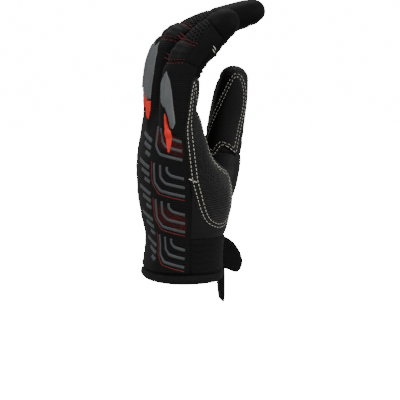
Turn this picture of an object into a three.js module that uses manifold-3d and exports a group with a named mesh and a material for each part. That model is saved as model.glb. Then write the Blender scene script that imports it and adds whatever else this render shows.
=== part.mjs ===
// A right-hand work glove in its worn shape: fingers up +Z, palm towards +X, thumb towards +Y.
// The origin is the centre of the wrist opening, level with the lower edge of the cuff binding.
import * as THREE from 'three';
import Module from 'manifold-3d';

const wasm = await Module();
wasm.setup();

// Driving dimensions, in millimetres and degrees
const WALL = 1.6;
const GAP = 0.35;
const BINDING_HEIGHT = 7;
const BINDING_LIFT = 1.1;
const ELASTIC_TOP = 31;
const GATHERS = 5;
const GATHER_DEPTH = 0.9;
const SIDE_SEAM_X = -1.6;
const WEB_TOP = 128.6;
const FINGER_ROUNDNESS = 2.3;
const HAND_ROUNDNESS = 2.2;
const TIP_LENGTH = 11;
const BACK_EDGE = 78;
const FRONT_EDGE = 131;
const GUARD_THICKNESS = 3;
const FLASH_THICKNESS = 2.4;
const PAD_THICKNESS = 1.8;
const PATCH_THICKNESS = 1.2;
const PATCH_LIFT = 0.6;
const ROW = 10;
const HAND_SIDES = 30;
const BEYOND = 80;
const FINGER_SIDES = 14;

// Sections of the hand from the wrist to the finger roots: centre line, then the four half-widths
const HAND = [
  { at: 0, centre: 0, dorsal: 28, palmar: 28, ulnar: 34, radial: 34 },
  { at: 8, centre: 0, dorsal: 28.5, palmar: 28, ulnar: 34.5, radial: 34.5 },
  { at: 28, centre: 0, dorsal: 26, palmar: 29, ulnar: 36, radial: 36 },
  { at: 45, centre: 0, dorsal: 29, palmar: 32.5, ulnar: 39, radial: 40 },
  { at: 58, centre: 0, dorsal: 31.2, palmar: 35, ulnar: 41.2, radial: 43 },
  { at: 70, centre: 0, dorsal: 32.2, palmar: 34, ulnar: 42.3, radial: 44.4 },
  { at: 79, centre: -1, dorsal: 31.6, palmar: 31, ulnar: 42.8, radial: 45 },
  { at: 88, centre: -2, dorsal: 30.3, palmar: 22, ulnar: 43, radial: 45 },
  { at: 105, centre: -4, dorsal: 25, palmar: 16.6, ulnar: 43, radial: 44 },
  { at: 118, centre: -5, dorsal: 21.5, palmar: 14.2, ulnar: 42.5, radial: 42.5 },
  { at: 124, centre: -6, dorsal: 18.5, palmar: 12.5, ulnar: 40, radial: 40 },
  { at: 128, centre: -7, dorsal: 13, palmar: 9, ulnar: 36, radial: 36 },
];

// Knuckle guards and their flashes, cut from a raised skin from so far out in the direction that they face.
// Outlines: across the finger, and up as a share of length.
const BACK_CUT = {
  facing: 180, near: 12,
  guard: [
    [3, 1], [-2, 0.93], [-6, 0.8], [-7.2, 0.5], [-6.2, 0.2], [-2, 0.06], [1, 0], [6.4, 0], [7.8, 0.45],
    [7.4, 0.82],
  ],
  flash: [[1.8, -0.02], [6.2, -0.02], [6.2, -0.18], [4.6, -0.37], [3.2, -0.3]],
};
const SIDE_CUT = {
  facing: -130, near: 37,
  guard: [
    [1.3, 1], [-2, 0.93], [-5.3, 0.83], [-6.9, 0.76], [-5.3, 0.6], [-4.5, 0.43], [-2.5, 0.37], [-0.1, 0.33],
    [2.1, 0.2], [4.3, 0.01], [6.1, 0], [6.8, 0.09], [5.9, 0.43], [5.7, 0.62], [5.1, 0.82],
  ],
  flash: [
    [-0.7, 0.29], [1.1, 0.18], [3.2, 0], [3.8, -0.1], [2.5, -0.23], [1.1, -0.41], [-0.1, -0.4], [-1.9, -0.2],
    [-0.9, -0.02], [-0.8, 0.14],
  ],
};

// Fingers: where the spine starts, how it leans and turns, its half-widths, and where its pieces meet
const FINGERS = [
  {
    name: 'little', base: [-9.5, -33, 110], tilt: -3, drift: -0.08, length: 98,
    turns: [{ at: 18, bend: 10, over: 30 }, { at: 49, bend: 38, over: 28 }, { at: 76, bend: 6, over: 20 }],
    girth: [
      { at: 0, width: 9.6, depth: 13 }, { at: 45, width: 9.6, depth: 12.5 },
      { at: 72, width: 9.2, depth: 11.5 }, { at: 88, width: 8.6, depth: 9.5 },
    ],
    crease: 40, band: 46, mesh: 59, cap: 80,
    guard: { cut: SIDE_CUT, across: 11.5, foot: 113.4, length: 41 },
  },
  {
    name: 'ring', base: [-14.5, -11.5, 112], tilt: -1, drift: -0.03, length: 129,
    turns: [{ at: 30, bend: 9, over: 30 }, { at: 57, bend: 56, over: 28 }, { at: 90, bend: 8, over: 22 }],
    girth: [
      { at: 0, width: 9.9, depth: 14 }, { at: 25, width: 9.9, depth: 12.5 },
      { at: 85, width: 9.5, depth: 10.2 }, { at: 117, width: 9, depth: 8.7 },
    ],
    crease: 44, band: 58, mesh: 71, cap: 94,
    guard: { cut: BACK_CUT, across: 12.5, foot: 132, length: 41 },
  },
  {
    name: 'middle', base: [-12.5, 10.5, 113], tilt: -1, drift: 0.02, length: 129,
    turns: [{ at: 30, bend: 9, over: 30 }, { at: 56, bend: 56, over: 28 }, { at: 88, bend: 9, over: 22 }],
    girth: [
      { at: 0, width: 9.9, depth: 14 }, { at: 25, width: 9.9, depth: 12.5 },
      { at: 85, width: 9.5, depth: 10.2 }, { at: 117, width: 9, depth: 8.7 },
    ],
    crease: 44, band: 58, mesh: 71, cap: 94,
    guard: { cut: BACK_CUT, across: -11, foot: 137, length: 37 },
  },
  {
    name: 'index', base: [-8, 32, 110], tilt: -1, drift: 0.08, length: 118,
    turns: [{ at: 28, bend: 10, over: 30 }, { at: 54, bend: 51, over: 28 }, { at: 84, bend: 10, over: 22 }],
    girth: [
      { at: 0, width: 9.9, depth: 13.5 }, { at: 25, width: 9.9, depth: 12.5 },
      { at: 80, width: 9.4, depth: 10.4 }, { at: 107, width: 9, depth: 8.8 },
    ],
    crease: 42, band: 54, mesh: 66, cap: 87,
    guard: { cut: BACK_CUT, across: -34, foot: 132, length: 35 },
  },
];

// The thumb rises out of the heel of the hand and turns towards the little finger: its front faces -Y
const THUMB = {
  base: [18.5, 22, 37], facing: -95, tilt: -22, drift: 0.42, length: 123,
  turns: [{ at: 39, bend: 22, over: 44, sway: -0.28 }, { at: 85, bend: 12, over: 25 }],
  girth: [
    { at: 0, width: 6, depth: 6 }, { at: 8, width: 11, depth: 11 },
    { at: 23, width: 15, depth: 14.5 }, { at: 57, width: 14.3, depth: 12.5 },
    { at: 98, width: 13.2, depth: 11 }, { at: 113, width: 11.3, depth: 9.6 },
  ],
  start: 57, cap: 112, edge: 95,
};

// Reinforcement on the front of the thumb: its two edges as angles round the thumb, its top, and its zigzag foot
const PATCH_END = 118;
const PATCH_SIDES = [
  { at: 50, right: 142, left: 268 }, { at: 65, right: 138, left: 260 }, { at: 83, right: 132, left: 241 },
  { at: 93, right: 128, left: 231 }, { at: 106, right: 131, left: 217 }, { at: 113, right: 140, left: 208 },
  { at: 118, right: 156, left: 194 },
];
const PATCH_FOOT = [
  { share: 0, foot: 55 }, { share: 0.19, foot: 58.5 }, { share: 0.38, foot: 62 }, { share: 0.44, foot: 57 },
  { share: 0.5, foot: 51.5 }, { share: 0.75, foot: 56 }, { share: 1, foot: 60 },
];

// Palm pad, looking at the heel of the hand from between the palm and the little finger. It is cut from a
// raised skin too.
const PAD_FACING = -45;
const PAD_NEAR = 12;
const PAD_OUTLINE = [
  [-33.5, 147], [-35, 122.5], [-35.6, 111], [-34.6, 94.7], [-33, 78], [-30.4, 66.5], [-26.7, 54.6],
  [-22, 46], [-16.3, 41.8], [-8.6, 39.6], [0.6, 41.2], [6.2, 48], [6.6, 62], [7, 76], [3.6, 80.8],
  [-3.5, 84], [-8, 92], [-9.5, 104], [-11, 113], [-16, 124], [-23, 136], [-27, 147],
];

const MATERIALS = {
  knit: new THREE.MeshStandardMaterial({ color: 0x17181b, roughness: 0.85, metalness: 0 }),
  leather: new THREE.MeshStandardMaterial({ color: 0x232426, roughness: 0.7, metalness: 0 }),
  mesh: new THREE.MeshStandardMaterial({ color: 0x1d1e20, roughness: 0.8, metalness: 0 }),
  grip: new THREE.MeshStandardMaterial({ color: 0x1b1b1c, roughness: 0.55, metalness: 0 }),
  guard: new THREE.MeshStandardMaterial({ color: 0x5f6568, roughness: 0.5, metalness: 0 }),
  flash: new THREE.MeshStandardMaterial({ color: 0xf23c2e, roughness: 0.5, metalness: 0 }),
  webbing: new THREE.MeshStandardMaterial({ color: 0x141517, roughness: 0.9, metalness: 0 }),
};

const UP = new THREE.Vector3(0, 0, 1);
const radians = THREE.MathUtils.degToRad;

const glove = new THREE.Group();

function add(name, geometry, material) {
  const mesh = new THREE.Mesh(geometry, material);
  mesh.name = name;
  glove.add(mesh);
}

// Numbers from one value to another in equal steps, both ends included
function spread(from, to, steps) {
  return Array.from({ length: steps + 1 }, (_, i) => from + ((to - from) * i) / steps);
}

// Distances that every piece of a form shares, between the two ends of the piece
function rowsBetween(from, to) {
  const shared = spread(0, 20 * ROW, 20).filter((at) => at > from + 1 && at < to - 1);
  return [from, ...shared, to];
}

// One column of a table at any distance, as a smooth curve through its rows
function smoothColumn(table, name, at) {
  const last = table.length - 1;
  let i = 0;
  while (i < last - 1 && at > table[i + 1].at) i += 1;
  const slope = (k) => {
    const before = table[Math.max(k - 1, 0)];
    const after = table[Math.min(k + 1, last)];
    return (after[name] - before[name]) / (after.at - before.at);
  };
  const span = table[i + 1].at - table[i].at;
  const u = THREE.MathUtils.clamp((at - table[i].at) / span, 0, 1);
  const rise = u * u * (3 - 2 * u);
  const bow = u * (1 - u) * span;
  return table[i][name] * (1 - rise) + table[i + 1][name] * rise
    + bow * ((1 - u) * slope(i) - u * slope(i + 1));
}

// A cosine or sine squared off towards a rounded rectangle
function squared(value, roundness) {
  return Math.sign(value) * Math.abs(value) ** (2 / roundness);
}

// The hand as a form: a point on its surface, raised by a lift. Angle 0 is the back, 90 the thumb side.
const hand = {
  surface(at, angle, lift) {
    const c = squared(Math.cos(radians(angle)), HAND_ROUNDNESS);
    const s = squared(Math.sin(radians(angle)), HAND_ROUNDNESS);
    const depth = smoothColumn(HAND, c > 0 ? 'dorsal' : 'palmar', at) + lift;
    const width = smoothColumn(HAND, s > 0 ? 'radial' : 'ulnar', at) + lift;
    return new THREE.Vector3(smoothColumn(HAND, 'centre', at) - depth * c, width * s, at);
  },
};

// A finger or the thumb as a form: a bent spine with a rounded section and a domed tip
function limb({ base, facing = 0, tilt, drift, turns, length, girth }) {
  const forward = new THREE.Vector3(Math.cos(radians(facing)), Math.sin(radians(facing)), 0);
  const side = new THREE.Vector3().crossVectors(UP, forward);
  const direction = (at) => {
    let lean = tilt;
    let aside = drift;
    for (const { at: middle, bend, over, sway = 0 } of turns) {
      const done = THREE.MathUtils.smoothstep(at, middle - over / 2, middle + over / 2);
      lean += bend * done;
      aside += sway * done;
    }
    const along = forward.clone().multiplyScalar(Math.sin(radians(lean)));
    return along.addScaledVector(UP, Math.cos(radians(lean))).addScaledVector(side, aside).normalize();
  };
  const spine = [new THREE.Vector3(...base)];
  for (let at = 0; at < length; at += 1) {
    spine.push(spine[at].clone().addScaledVector(direction(at + 0.5), 1));
  }
  return {
    surface(at, angle, lift) {
      const along = direction(at);
      const across = side.clone().addScaledVector(along, -along.dot(side)).normalize();
      const back = new THREE.Vector3().crossVectors(along, across);
      const whole = Math.min(Math.floor(at), spine.length - 2);
      const tip = THREE.MathUtils.clamp((at - length + TIP_LENGTH) / TIP_LENGTH, 0, 1);
      const round = Math.sqrt(1 - tip * tip);
      const c = squared(Math.cos(radians(angle)), FINGER_ROUNDNESS);
      const s = squared(Math.sin(radians(angle)), FINGER_ROUNDNESS);
      const point = spine[whole].clone().lerp(spine[whole + 1], at - whole);
      point.addScaledVector(along, lift * tip);
      point.addScaledVector(back, (smoothColumn(girth, 'depth', at) + lift) * round * c);
      return point.addScaledVector(across, (smoothColumn(girth, 'width', at) + lift) * round * s);
    },
  };
}

// Geometry from a list of triangles, with shared corners merged and collapsed triangles dropped
function geometryOf(triangles) {
  const positions = [];
  const index = [];
  const known = new Map();
  const corner = (point) => {
    const key = [point.x, point.y, point.z].map((value) => value.toFixed(3)).join();
    if (!known.has(key)) {
      known.set(key, positions.length / 3);
      positions.push(point.x, point.y, point.z);
    }
    return known.get(key);
  };
  for (const triangle of triangles) {
    const [a, b, c] = triangle.map(corner);
    if (a !== b && b !== c && c !== a) index.push(a, b, c);
  }
  const geometry = new THREE.BufferGeometry();
  geometry.setAttribute('position', new THREE.Float32BufferAttribute(positions, 3));
  geometry.setIndex(index);
  return geometry;
}

// A sheet solid over a grid: two skins on the kept cells, and walls round the edge of what is kept
function sheet(rows, columns, outer, inner, keep = () => true, wrap = false) {
  const triangles = [];
  const across = wrap ? columns.length : columns.length - 1;
  const kept = (i, j) => {
    const column = wrap ? (j + across) % across : j;
    return i >= 0 && i < rows.length - 1 && column >= 0 && column < across && keep(i, column);
  };
  const point = (skin, i, j) => skin(rows[i], columns[j % columns.length], i, j);
  const quad = (a, b, c, d) => triangles.push([a, b, c], [a, c, d]);
  for (let i = 0; i < rows.length - 1; i += 1) {
    for (let j = 0; j < across; j += 1) {
      if (!kept(i, j)) continue;
      const ring = [[i, j], [i + 1, j], [i + 1, j + 1], [i, j + 1]];
      const out = ring.map(([row, column]) => point(outer, row, column));
      const back = ring.map(([row, column]) => point(inner, row, column));
      quad(...out);
      quad(back[0], back[3], back[2], back[1]);
      const beside = [kept(i, j - 1), kept(i + 1, j), kept(i, j + 1), kept(i - 1, j)];
      for (let k = 0; k < 4; k += 1) {
        const next = (k + 1) % 4;
        if (!beside[k]) quad(out[next], out[k], back[k], back[next]);
      }
    }
  }
  return geometryOf(triangles);
}

// A panel of cloth or leather on a form, between two distances and two angles
function panel(form, rows, columns, thickness = WALL, lift = 0) {
  const outer = (at, angle) => form.surface(at, angle, lift);
  const inner = (at, angle) => form.surface(at, angle, lift - thickness);
  return sheet(rows, columns, outer, inner);
}

// The full space inside a form, closed flat at both ends
function volume(form, rows, sides, lift) {
  const ring = (at) => spread(0, 360, sides).slice(0, sides).map((angle) => form.surface(at, angle, lift));
  const rings = rows.map(ring);
  const triangles = [];
  for (let j = 0; j < sides; j += 1) {
    const next = (j + 1) % sides;
    for (let i = 0; i < rings.length - 1; i += 1) {
      triangles.push([rings[i][j], rings[i + 1][j], rings[i + 1][next]]);
      triangles.push([rings[i][j], rings[i + 1][next], rings[i][next]]);
    }
  }
  for (const [end, step] of [[rings[0], 1], [rings[rings.length - 1], -1]]) {
    const middle = end.reduce((sum, point) => sum.add(point), new THREE.Vector3()).divideScalar(sides);
    for (let j = 0; j < sides; j += 1) {
      triangles.push([middle, end[(j * step + sides) % sides], end[((j + 1) * step + sides) % sides]]);
    }
  }
  return solidOf(geometryOf(triangles));
}

function solidOf(geometry) {
  const vertProperties = new Float32Array(geometry.attributes.position.array);
  const triVerts = new Uint32Array(geometry.index.array);
  return new wasm.Manifold(new wasm.Mesh({ numProp: 3, vertProperties, triVerts }));
}

function geometryFrom(solid) {
  const mesh = solid.getMesh();
  const geometry = new THREE.BufferGeometry();
  geometry.setAttribute('position', new THREE.BufferAttribute(new Float32Array(mesh.vertProperties), 3));
  geometry.setIndex(Array.from(mesh.triVerts));
  return geometry;
}

function joined(solids) {
  return solids.reduce((sum, solid) => sum.add(solid));
}

// A straight prism on an outline, seen along the direction that the prism faces, with Z upward
function prism(outline, facing, near, far) {
  const shape = new THREE.Shape(outline.map(([across, up]) => new THREE.Vector2(across, up)));
  const geometry = new THREE.ExtrudeGeometry(shape, { depth: far - near, bevelEnabled: false });
  const outward = new THREE.Vector3(Math.cos(radians(facing)), Math.sin(radians(facing)), 0);
  const across = new THREE.Vector3().crossVectors(UP, outward);
  geometry.applyMatrix4(new THREE.Matrix4().makeBasis(across, UP, outward));
  geometry.translate(outward.x * near, outward.y * near, 0);
  return solidOf(withMergedCorners(geometry));
}

// The same surface with only positions, and one vertex at each corner
function withMergedCorners(geometry) {
  const flat = geometry.index ? geometry.toNonIndexed() : geometry;
  const { array } = flat.attributes.position;
  const triangles = [];
  for (let i = 0; i < array.length; i += 9) {
    triangles.push([0, 3, 6].map((k) => new THREE.Vector3().fromArray(array, i + k)));
  }
  return geometryOf(triangles);
}

const thumb = limb(THUMB);
for (const finger of FINGERS) finger.form = limb(finger);

// Rows of the hand above a given height, ending at the webs between the fingers
function handRows(from) {
  return [from, ...spread(15, 105, 6).filter((at) => at > from + 4), 118, 124, 128];
}

// The shell of the hand with the roots of the fingers and the thumb, hollow all through
function shell(from, meeting) {
  const outer = [volume(hand, handRows(from), HAND_SIDES, 0)];
  const inner = [volume(hand, [from - 3, ...handRows(from).slice(1, -1), 126], HAND_SIDES, -WALL)];
  for (const finger of FINGERS) {
    const end = finger[meeting];
    outer.push(volume(finger.form, rowsBetween(0, end - GAP), FINGER_SIDES, 0));
    inner.push(volume(finger.form, rowsBetween(0, end + 3), FINGER_SIDES, -WALL));
  }
  outer.push(volume(thumb, rowsBetween(0, THUMB.start - GAP), FINGER_SIDES, 0));
  inner.push(volume(thumb, rowsBetween(0, THUMB.start + 3), FINGER_SIDES, -WALL));
  return joined(outer).subtract(joined(inner));
}

// The half of the hand on the palm's side of the side seams, with the front strip of each finger
function palmSide(edge) {
  const half = [[-BEYOND, -BEYOND], [BEYOND, -BEYOND], [BEYOND, WEB_TOP], [-BEYOND, WEB_TOP]];
  const side = prism(half, 0, SIDE_SEAM_X + edge, BEYOND);
  const strips = FINGERS.map((finger) => {
    const shift = THREE.MathUtils.radToDeg(edge / 10);
    const columns = spread(FRONT_EDGE + shift, 360 - FRONT_EDGE - shift, 6);
    const outer = (at, angle) => finger.form.surface(at, angle, 1.1 - 3 * edge);
    const inner = (at, angle) => finger.form.surface(at, angle, -8.5);
    return solidOf(sheet(rowsBetween(4, finger.band + 4), columns, outer, inner));
  });
  return joined([side, ...strips]);
}

// Wrist: a rolled binding all round, and a gathered elastic panel across the palm side
function makeCuff() {
  const lifts = [0.5, BINDING_LIFT, BINDING_LIFT, 0.4];
  const heights = [0, 1.5, BINDING_HEIGHT - 1.5, BINDING_HEIGHT];
  const angles = spread(0, 360, HAND_SIDES).slice(0, HAND_SIDES);
  const outer = (at, angle, i) => hand.surface(at, angle, lifts[i]);
  const inner = (at, angle) => hand.surface(at, angle, -WALL);
  add('cuff_binding', sheet(heights, angles, outer, inner, () => true, true), MATERIALS.webbing);

  const low = BINDING_HEIGHT + GAP;
  const heightsUp = spread(low, ELASTIC_TOP, 2 * GATHERS);
  const ridge = (at, angle, i) => hand.surface(at, angle, i % 2 ? GATHER_DEPTH : 0.1);
  const behind = (at, angle) => hand.surface(at, angle, -WALL);
  add('wrist_elastic', sheet(heightsUp, spread(88, 272, 12), ridge, behind), MATERIALS.knit);
}

// Back of the hand in knit, and the palm in leather, meeting along the side seams
function makeHand() {
  const edge = GAP / 2;
  const back = shell(BINDING_HEIGHT + GAP, 'band').subtract(palmSide(-edge));
  add('back_panel', geometryFrom(back), MATERIALS.knit);
  const palm = shell(ELASTIC_TOP + GAP, 'crease').intersect(palmSide(edge));
  add('palm_panel', geometryFrom(palm), MATERIALS.leather);
}

// A leather front that runs up one side of a limb and closes over its tip
function front(form, from, cap, length, edge) {
  const shift = THREE.MathUtils.radToDeg(GAP / 20);
  const facing = spread(edge + shift, 360 - edge - shift, 6);
  const around = spread(360 - edge - shift, 360 + edge + shift, 8).slice(1, -1);
  const dome = [25, 50, 70, 90].map((turn) => length + TIP_LENGTH * (Math.sin(radians(turn)) - 1));
  const rows = [...rowsBetween(from, cap), ...dome.filter((at) => at > cap + 1)];
  const outer = (at, angle) => form.surface(at, angle, 0);
  const inner = (at, angle) => form.surface(at, angle, -WALL);
  const keep = (i, j) => rows[i] >= cap || j < facing.length - 1;
  return sheet(rows, [...facing, ...around], outer, inner, keep, true);
}

// Each finger above its root: knuckle band, air-mesh back, knit side strips and leather front
function makeFinger({ name, form, crease, band, mesh, cap, length }) {
  const shift = THREE.MathUtils.radToDeg(GAP / 20);
  const backColumns = spread(shift - BACK_EDGE, BACK_EDGE - shift, 8);
  const bandRows = rowsBetween(band, mesh - GAP);
  const meshRows = rowsBetween(mesh, cap - GAP);
  add(`${name}_knuckle_band`, panel(form, bandRows, backColumns), MATERIALS.knit);
  add(`${name}_mesh`, panel(form, meshRows, backColumns), MATERIALS.mesh);
  for (const [side, sign] of [['inner', 1], ['outer', -1]]) {
    const edges = [sign * (BACK_EDGE + shift), sign * (FRONT_EDGE - shift)].sort((a, b) => a - b);
    const columns = spread(edges[0], edges[1], 3);
    add(`${name}_fourchette_${side}`, panel(form, rowsBetween(band, cap - GAP), columns), MATERIALS.knit);
  }
  add(`${name}_front`, front(form, crease, cap, length, FRONT_EDGE), MATERIALS.leather);
}

// Moulded knuckle guard and its coloured flash, seated on the back of the finger and the hand
function makeGuard({ name, form, band, guard }) {
  const seat = (lift) => joined([
    volume(hand, handRows(40), HAND_SIDES, lift),
    volume(form, rowsBetween(0, band - GAP), FINGER_SIDES, lift),
  ]);
  const pieces = [
    ['guard', guard.cut.guard, GUARD_THICKNESS, MATERIALS.guard],
    ['guard_flash', guard.cut.flash, FLASH_THICKNESS, MATERIALS.flash],
  ];
  for (const [piece, outline, thickness, material] of pieces) {
    const placed = outline.map(([across, along]) => {
      return [guard.across + across, guard.foot + along * guard.length];
    });
    const block = prism(placed, guard.cut.facing, guard.cut.near, BEYOND);
    const solid = seat(GAP + thickness).intersect(block).subtract(seat(GAP));
    add(`${name}_${piece}`, geometryFrom(solid), material);
  }
}

// Thumb: a leather back and front above the root, and a reinforcement patch on the front
function makeThumb() {
  const { start, cap, length, edge } = THUMB;
  const shift = THREE.MathUtils.radToDeg(GAP / 24);
  const columns = spread(shift - edge, edge - shift, 10);
  add('thumb_back', panel(thumb, rowsBetween(start, cap - GAP), columns), MATERIALS.leather);
  add('thumb_front', front(thumb, start, cap, length, edge), MATERIALS.leather);
  const skin = (lift) => (rise, { share, foot }) => {
    const at = foot + (PATCH_END - foot) * rise;
    const right = smoothColumn(PATCH_SIDES, 'right', at);
    const left = smoothColumn(PATCH_SIDES, 'left', at);
    return thumb.surface(at, right + (left - right) * share, lift);
  };
  const outer = skin(PATCH_LIFT + PATCH_THICKNESS);
  const patch = sheet(spread(0, 1, 10), PATCH_FOOT, outer, skin(PATCH_LIFT));
  add('thumb_patch', patch, MATERIALS.leather);
}

// Gripping pad over the heel of the palm, up to the root of the little finger
function makePad() {
  const { form } = FINGERS[0];
  const seat = (lift) => joined([
    volume(hand, handRows(34), HAND_SIDES, lift),
    volume(form, rowsBetween(0, 50), FINGER_SIDES, lift),
  ]);
  const block = prism(PAD_OUTLINE, PAD_FACING, PAD_NEAR, BEYOND);
  const solid = seat(GAP + PAD_THICKNESS).intersect(block).subtract(seat(GAP));
  add('palm_pad', geometryFrom(solid), MATERIALS.grip);
}

// Closure tab standing off the wrist, and the webbing pull tab that hangs from the binding
function makeTabs() {
  const flap = new THREE.Shape();
  flap.moveTo(27.3, 5);
  flap.lineTo(27.3, 24);
  flap.splineThru([[36, 25], [44.2, 18.2], [48.7, 7], [44.9, -0.8], [36.2, 1.5], [27.3, 5]]
    .map(([x, z]) => new THREE.Vector2(x, z)));
  const tail = new THREE.Shape([[29.4, 6], [32.4, 6], [33.8, -10], [33.2, -20.5], [31.4, -20.5], [30.6, -8]]
    .map(([x, z]) => new THREE.Vector2(x, z)));
  for (const [name, shape, from, thickness] of [['closure_tab', flap, 18, 2], ['pull_tab', tail, 4, 12]]) {
    const geometry = new THREE.ExtrudeGeometry(shape, {
      depth: thickness, bevelEnabled: false, curveSegments: 4,
    });
    geometry.rotateX(Math.PI / 2);
    geometry.translate(0, from + thickness, 0);
    add(name, withMergedCorners(geometry), MATERIALS.webbing);
  }
}

makeCuff();
makeHand();
for (const finger of FINGERS) {
  makeFinger(finger);
  makeGuard(finger);
}
makeThumb();
makePad();
makeTabs();

export default glove;
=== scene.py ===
import math

import bpy
import numpy as np
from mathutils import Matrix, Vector
from mathutils.bvhtree import BVHTree
from mathutils.kdtree import KDTree


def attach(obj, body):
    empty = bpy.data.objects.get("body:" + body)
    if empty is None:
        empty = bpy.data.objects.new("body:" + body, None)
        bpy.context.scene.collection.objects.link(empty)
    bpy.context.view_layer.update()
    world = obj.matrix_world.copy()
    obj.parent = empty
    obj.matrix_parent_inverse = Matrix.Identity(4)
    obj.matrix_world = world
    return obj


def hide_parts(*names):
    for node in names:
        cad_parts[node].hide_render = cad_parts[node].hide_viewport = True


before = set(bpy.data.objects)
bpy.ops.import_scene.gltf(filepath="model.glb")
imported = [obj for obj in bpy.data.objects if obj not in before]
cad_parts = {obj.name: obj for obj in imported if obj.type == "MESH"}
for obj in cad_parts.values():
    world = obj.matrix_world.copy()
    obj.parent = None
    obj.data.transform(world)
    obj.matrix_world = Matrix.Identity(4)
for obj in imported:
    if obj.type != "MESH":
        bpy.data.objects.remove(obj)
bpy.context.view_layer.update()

# The glove's worn form. It is one smooth skin round the palm, the fingers and the thumb that fill the glove.
# It follows the same tables as the CAD solids, in millimetres, and every sewn panel is cut out of it, so
# that neighbours meet on one line.
MM = 0.001
VOXEL = 1.4
SMOOTHED_TIMES = 7
TIP_LENGTH = 11
HAND_ROUNDNESS = 2.2
FINGER_ROUNDNESS = 2.3
RING_SIDES = 96
UP = np.array([0, 0, 1])
HAND_RINGS = np.array([
    -8, 0, 4, 8, 14, 20, 28, 36, 45, 52, 58, 64, 70, 75, 79, 84, 88, 96, 105, 112, 118, 124, 128,
])

# A row is a height, the section's centre, and its reach to the back, palm, little finger and thumb.
HAND = np.array([
    (0, 0, 28, 28, 34, 34), (8, 0, 28.5, 28, 34.5, 34.5), (28, 0, 26, 29, 36, 36), (45, 0, 29, 32.5, 39, 40),
    (58, 0, 31.2, 35, 41.2, 43), (70, 0, 32.2, 34, 42.3, 44.4), (79, -1, 31.6, 31, 42.8, 45),
    (88, -2, 30.3, 22, 43, 45), (105, -4, 25, 16.6, 43, 44), (118, -5, 21.5, 14.2, 42.5, 42.5),
    (124, -6, 18.5, 12.5, 40, 40), (128, -7, 13, 9, 36, 36),
])

# A row of a girth is a distance along, half the width and half the depth.
LONG_GIRTH = [(0, 9.9, 14), (25, 9.9, 12.5), (85, 9.5, 10.2), (117, 9, 8.7)]


def through(table, column, at):
    """One column of a table at any distance, as a smooth curve through its rows."""
    x, y = table[:, 0], table[:, column]
    before, after = np.r_[0, np.arange(len(x) - 1)], np.r_[np.arange(1, len(x)), len(x) - 1]
    slope = (y[after] - y[before]) / (x[after] - x[before])
    i = np.clip(np.searchsorted(x, at, side="right") - 1, 0, len(x) - 2)
    span = x[i + 1] - x[i]
    u = np.clip((at - x[i]) / span, 0, 1)
    rise = u * u * (3 - 2 * u)
    bow = u * (1 - u) * span
    return y[i] * (1 - rise) + y[i + 1] * rise + bow * ((1 - u) * slope[i] - u * slope[i + 1])


def smoothstep(low, high, value):
    u = np.clip((value - low) / (high - low), 0, 1)
    return u * u * (3 - 2 * u)


def squared(value, roundness):
    return np.sign(value) * np.abs(value) ** (2 / roundness)


def unit(vectors):
    return vectors / np.maximum(np.linalg.norm(vectors, axis=-1, keepdims=True), 1e-9)


def dot(a, b):
    return (a * b).sum(-1)


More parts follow.
